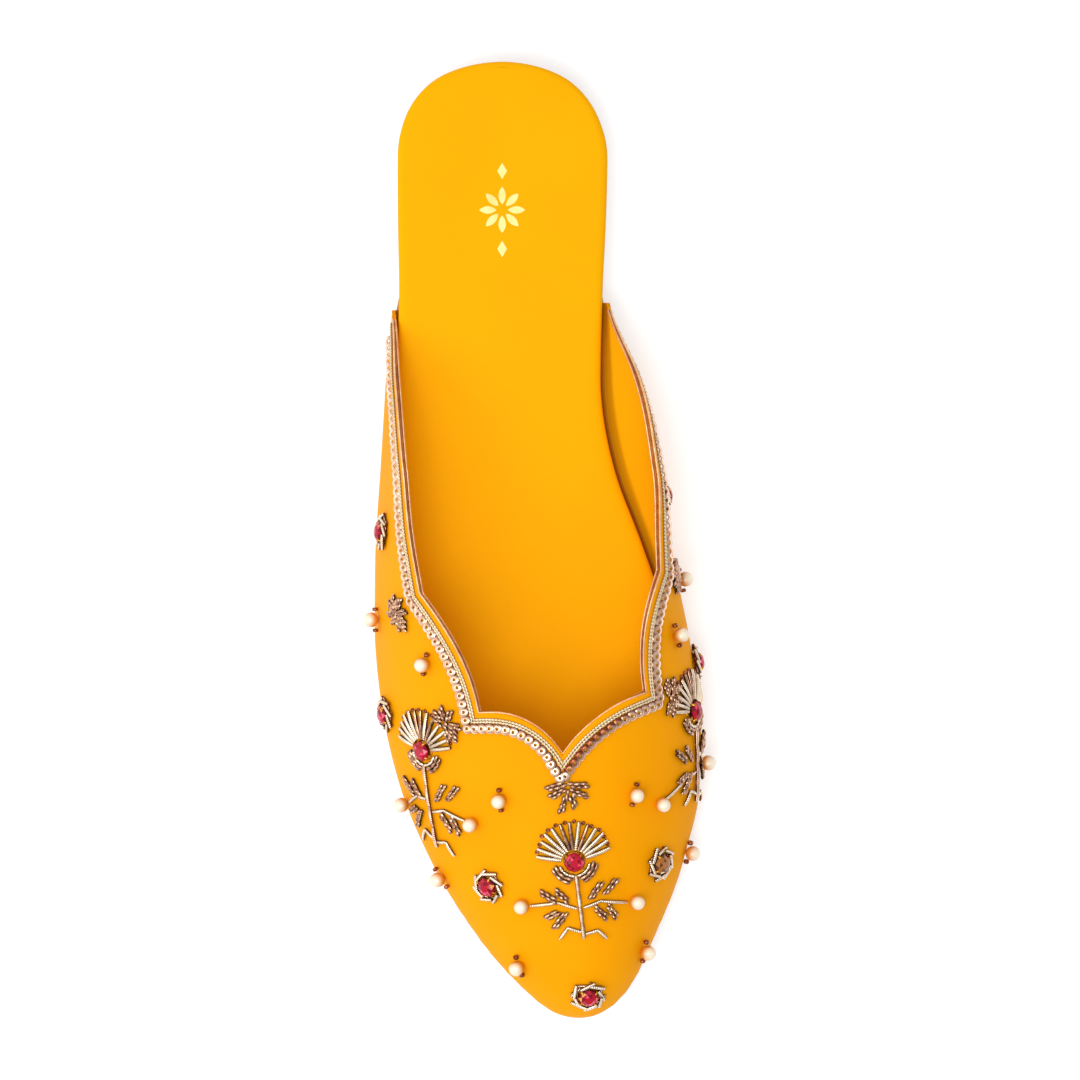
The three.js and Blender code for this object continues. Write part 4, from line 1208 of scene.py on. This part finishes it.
# Thistles: stone and root on the pattern, and the pearls that their two branches reach
thistles = {
    "thistle_toe": {"at": (215.3, 1.0), "root": (236, 1.02), "stem": 22.0,
                    "branches": (("pearl_toe_branch_outer", 0.6), ("pearl_toe_branch_inner", 0.6))},
    "thistle_outer": {"at": (185.5, 0.425), "root": (213, 0.29), "stem": 28.0,
                      "branches": (("pearl_outer_branch_upper", 0.62), ("pearl_outer_branch_lower", 0.5))},
    "thistle_inner": {"at": (175.2, 1.7), "root": (200, 1.76), "stem": 25.0,
                      "branches": (("pearl_inner_branch_upper", 0.66), ("pearl_inner_branch_lower", 0.5))},
}
fan = {
    "rods": 13, "dark": (4, 6, 7), "darkRod": 0.9, "halfAngle": 77.0, "inner": 3.4, "outer": 11.5,
    "outerSide": 10.2, "stray": 0.4, "tipBead": 0.62, "tipLift": 0.25,
}
stalk = {"from": 3.8, "pieces": 4, "gap": 0.1}
branch = {"fromStem": 1.0, "fromPearl": 2.2, "elbowAt": 0.38, "elbowRise": 1.5}
# Leaves of a thistle: where each starts and ends, as share of the stem and distance to the side
thistleLeaves = table(
    "share side shareEnd sideEnd rods",
    (0.47, -7.0, 0.31, -11.0, 2), (0.50, -3.0, 0.31, -6.6, 2), (0.62, -7.5, 0.81, -9.9, 2),
    (0.62, -3.9, 0.79, -7.2, 2), (0.50, 2.9, 0.34, 6.0, 2), (0.49, 6.0, 0.35, 10.2, 2),
    (0.64, 3.9, 0.84, 7.8, 2), (0.62, 5.8, 0.70, 9.8, 2),
)
# Roots of a thistle, each a bent pair of rods
thistleRoots = table(
    "share side shareElbow sideElbow shareEnd sideEnd",
    (0.94, -0.6, 0.92, -4.2, 1.05, -6.5), (0.91, 0.5, 0.84, 4.0, 0.98, 6.7),
)
# Sepals cup the stone from below, on both sides: distance from it, the angles they span, and which are bright
thistleSepals = table("reach start end bright", (6.2, 14, 72, 0), (5.15, 8, 78, 0), (4.1, 16, 86, 1))


def fanMesh(name, chart, draw):  # rods spread over the stone, with a seed bead between each two tips
    angles = np.radians(np.linspace(-fan["halfAngle"], fan["halfAngle"], fan["rods"]))
    spokes = [np.array((-math.cos(a), math.sin(a))) for a in angles]
    stray, reach = fan["stray"], (fan["outer"], fan["outerSide"])
    tips = [lerp(*reach, abs(a) / angles[-1]) + draw.uniform(-stray, stray) for a in angles]
    runs = [(s * fan["inner"], s * tip) for s, tip in zip(spokes, tips)]
    bright = [run for i, run in enumerate(runs) if i not in fan["dark"]]
    dark = [runs[i] for i in fan["dark"]]
    along, girth = walk(*chart, [(a + b) / 2 * tip for a, b, tip in zip(spokes, spokes[1:], tips)])
    ahead, _, normal, right = upperFrame(along, girth)
    seeds = seedMesh(lifted(along, girth, np.full(len(along), fan["tipLift"])),
                     quaternions(right, unit(ahead), normal), fan["tipBead"])
    rod, taper = beadwork["rod"], beadwork["rodTaper"]
    return joinMeshes(name, [rodMesh(chart, bright, rod, champagneWire, taper),
                             rodMesh(chart, dark, rod * fan["darkRod"], bronzeWire, taper), seeds])


def stemMesh(name, chart, size, draw):  # stalk, two branches, roots, leaves and the sepals under the stone
    stem = size["stem"]
    joints = np.linspace(stalk["from"], stem, stalk["pieces"] + 1)
    pieces = [((start + stalk["gap"], 0), (end - stalk["gap"], 0)) for start, end in zip(joints, joints[1:])]
    bright = []
    for pearlName, share in size["branches"]:
        target = offsetOf(chart, pearls[pearlName][:2])
        start = np.array((share * stem, branch["fromStem"] * np.sign(target[1])))
        end = target - unit(target - start) * branch["fromPearl"]
        elbow = lerp(start, end, branch["elbowAt"]) - np.array((branch["elbowRise"], 0))
        bright += [(start, elbow), (elbow, end)]
    for row in zip(*thistleRoots.values()):
        a, b, c = (np.array((row[i] * stem, row[i + 1])) for i in (0, 2, 4))
        bright += [(a, b), (b, c)]
    dark = leafRuns(thistleLeaves, stem, draw)
    for reach, start, end, shines in zip(*thistleSepals.values()):
        for hand in (-1, 1):
            angles = np.radians(np.linspace(start, end, 4))
            bend = [(reach * math.sin(a), hand * reach * math.cos(a)) for a in angles]
            (bright if shines else dark).extend(zip(bend, bend[1:]))
    taper = beadwork["rodTaper"]
    return joinMeshes(name, [rodMesh(chart, pieces, beadwork["stemRod"], blushWire, taper),
                             rodMesh(chart, bright, beadwork["branchRod"], champagneWire, taper),
                             rodMesh(chart, dark, beadwork["leafRod"], bronzeWire, beadwork["leafTaper"])])


def makeThistles():
    for name, size in thistles.items():
        chart = chartFrom(size["at"], size["root"])
        draw = random.Random(beadwork["seed"])
        addPiece(name + "_fan_rods", fanMesh(name + "_fan", chart, draw), "champagne_rods", name + "_fan")
        stone = joinMeshes(name + "_stone", stoneMeshes(size["at"], ruby, draw))
        addPiece(name + "_stone_set", stone, "ruby_glass", name + "_stone")
        stem = stemMesh(name + "_stem", chart, size, draw)
        addPiece(name + "_stem_rods", stem, "bronze_rods", name + "_stem")


makeRosettes()
makePearls()
makeThistles()
print("beadwork sewn")


# Leaf sprays at the cusps of the collar: down and side from where each begins
throatBow = table(
    "down side downEnd sideEnd rods",
    (0.5, -0.6, 1.3, -5.9, 2), (2.3, -1.0, 4.3, -5.4, 2), (-0.1, 0.3, 1.2, 5.4, 2), (1.6, 0.4, 3.6, 4.7, 2),
    (1.8, -0.5, 3.0, -0.3, 1), (3.3, -1.0, 7.2, -1.7, 2), (3.2, 0.5, 5.4, 0.9, 2), (5.4, 1.2, 8.2, 2.3, 2),
)
cuspStar = table(
    "down side downEnd sideEnd rods",
    (-0.3, -1.3, -2.9, -3.9, 2), (-0.6, 0.0, -4.1, 0.3, 3), (-0.3, 1.3, -2.7, 3.6, 2),
    (0.5, -1.2, 1.0, -5.8, 3), (1.4, -0.9, 3.5, -3.9, 2), (1.5, 0.2, 4.3, 0.0, 2),
    (1.3, 1.0, 3.6, 3.6, 2), (0.4, 1.3, 0.7, 4.8, 2), (-0.6, -0.5, 1.3, 0.3, 2),
)
lobeSprig = table(
    "down side downEnd sideEnd rods",
    (-1.2, -0.9, -4.6, -2.0, 2), (-1.3, 0.8, -4.6, 1.3, 3), (-0.2, -1.3, -1.6, -4.2, 2),
    (0.9, -1.0, 3.6, -3.0, 2), (1.4, 0.2, 5.0, 0.2, 3), (1.1, 1.3, 4.2, 2.9, 2), (-0.8, 0.0, 1.0, 0.4, 2),
)
sprays = {
    "spray_throat": {"at": (194.2, 1.0), "root": (203.4, 1.0), "leaves": throatBow},
    "spray_outer_cusp": {"at": (148.2, 0.365), "root": (153.2, 0.325), "leaves": cuspStar},
    "spray_inner_cusp": {"at": (138.6, 1.725), "root": (143.5, 1.75), "leaves": cuspStar},
    "spray_outer_lobe": {"at": (178.4, 0.566), "root": (183.4, 0.62), "leaves": lobeSprig},
    "spray_inner_lobe": {"at": (171.0, 1.545), "root": (176.1, 1.56), "leaves": lobeSprig},
}


def makeSprays():
    draw = random.Random(beadwork["seed"])
    for name, size in sprays.items():
        runs = leafRuns(size["leaves"], 1.0, draw)
        mesh = rodMesh(chartFrom(size["at"], size["root"]), runs, beadwork["leafRod"], bronzeWire,
                       beadwork["leafTaper"])
        solids = [name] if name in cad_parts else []  # two sprays are the scene's own
        addPiece(name + "_rods", mesh, "bronze_rods", *solids)


makeSprays()
print("sprays sewn")


# Camera, floor and light: straight down on the shoe, toe at the foot of the picture
view = {"height": 6.0, "frame": 0.292, "sensor": 36.0}
paper = {"half": 4000, "drop": 0.2, "tone": "#D6DCE2", "roughness": 0.9, "glow": 0.5}
tent = {"toward": (-0.62, 0.42, 0.66), "from": -0.7, "to": 0.9, "dim": 0.24, "bright": 0.85}
lamps = {
    "toeSoftbox": {"at": (-0.12, -0.28, 1.35), "aim": (0, 0, 0), "size": 0.7, "watts": 7.4,
                   "tint": (1, 0.99, 0.98)},
    "sideSoftbox": {"at": (-0.9, -0.32, 0.82), "aim": (0, 0, 0.01), "size": 0.6, "watts": 1.9,
                    "tint": (1, 1, 1)},
    "sparkle": {"at": (-0.4, -0.62, 1.25), "aim": (0, 0, 0.03), "size": 0.42, "watts": 1.8,
                "tint": (1, 1, 1)},  # small, for glints on film and wire
}


def addToScene(name, data, location=(0, 0, 0)):
    made = bpy.data.objects.new(name, data)
    made.location = location
    bpy.context.scene.collection.objects.link(made)
    return made


def makeCamera():
    data = bpy.data.cameras.new("camera")
    data.sensor_width = view["sensor"]
    data.lens = view["sensor"] * view["height"] / view["frame"]
    bpy.context.scene.camera = addToScene("camera", data, (0, 0, view["height"]))


def makeFloor():  # matte white paper
    material, tree, shader = newMaterial("matteWhitePaper")
    feed(tree, shader, {"Base Color": colour(paper["tone"]), "Roughness": paper["roughness"],
                        "Emission Color": (1, 1, 1, 1), "Emission Strength": paper["glow"]})
    half = paper["half"]
    corners = [(-half, -half, 0), (half, -half, 0), (half, half, 0), (-half, half, 0)]
    mesh = plainMesh("floor", corners, [[0, 1, 2, 3]], [material])
    addToScene("floor", mesh, (0, 0, -paper["drop"] * mm))


def makeLamps():
    for name, size in lamps.items():
        data = bpy.data.lights.new(name, "AREA")
        data.shape, data.size, data.energy, data.color = "DISK", size["size"], size["watts"], size["tint"]
        made = addToScene(name, data, size["at"])
        back = unit(np.array(size["at"], float) - np.array(size["aim"], float))
        right = unit(np.cross((0, 1, 0.01), back))
        axes = np.stack((right, np.cross(back, right), back), -1)
        made.rotation_euler = Matrix(axes.tolist()).to_euler()
        made.visible_camera = False


def makeTent():  # soft light from all round, brighter from one side
    world = bpy.data.worlds.new("lightTent")
    bpy.context.scene.world = world
    world.use_nodes = True
    tree = world.node_tree
    way = addNode(tree, "ShaderNodeTexCoord").outputs["Generated"]
    lit = addNode(tree, "ShaderNodeVectorMath", {0: way, 1: tent["toward"]}, operation="DOT_PRODUCT")
    glow = addNode(tree, "ShaderNodeMapRange",
                   {"Value": lit.outputs["Value"], "From Min": tent["from"], "From Max": tent["to"],
                    "To Min": tent["dim"], "To Max": tent["bright"]})
    feed(tree, tree.nodes["Background"], {"Strength": glow.outputs[0], "Color": (1, 1, 1, 1)})


makeCamera()
makeFloor()
makeLamps()
makeTent()
bpy.context.scene.view_settings.view_transform = "Standard"
print("stage set")
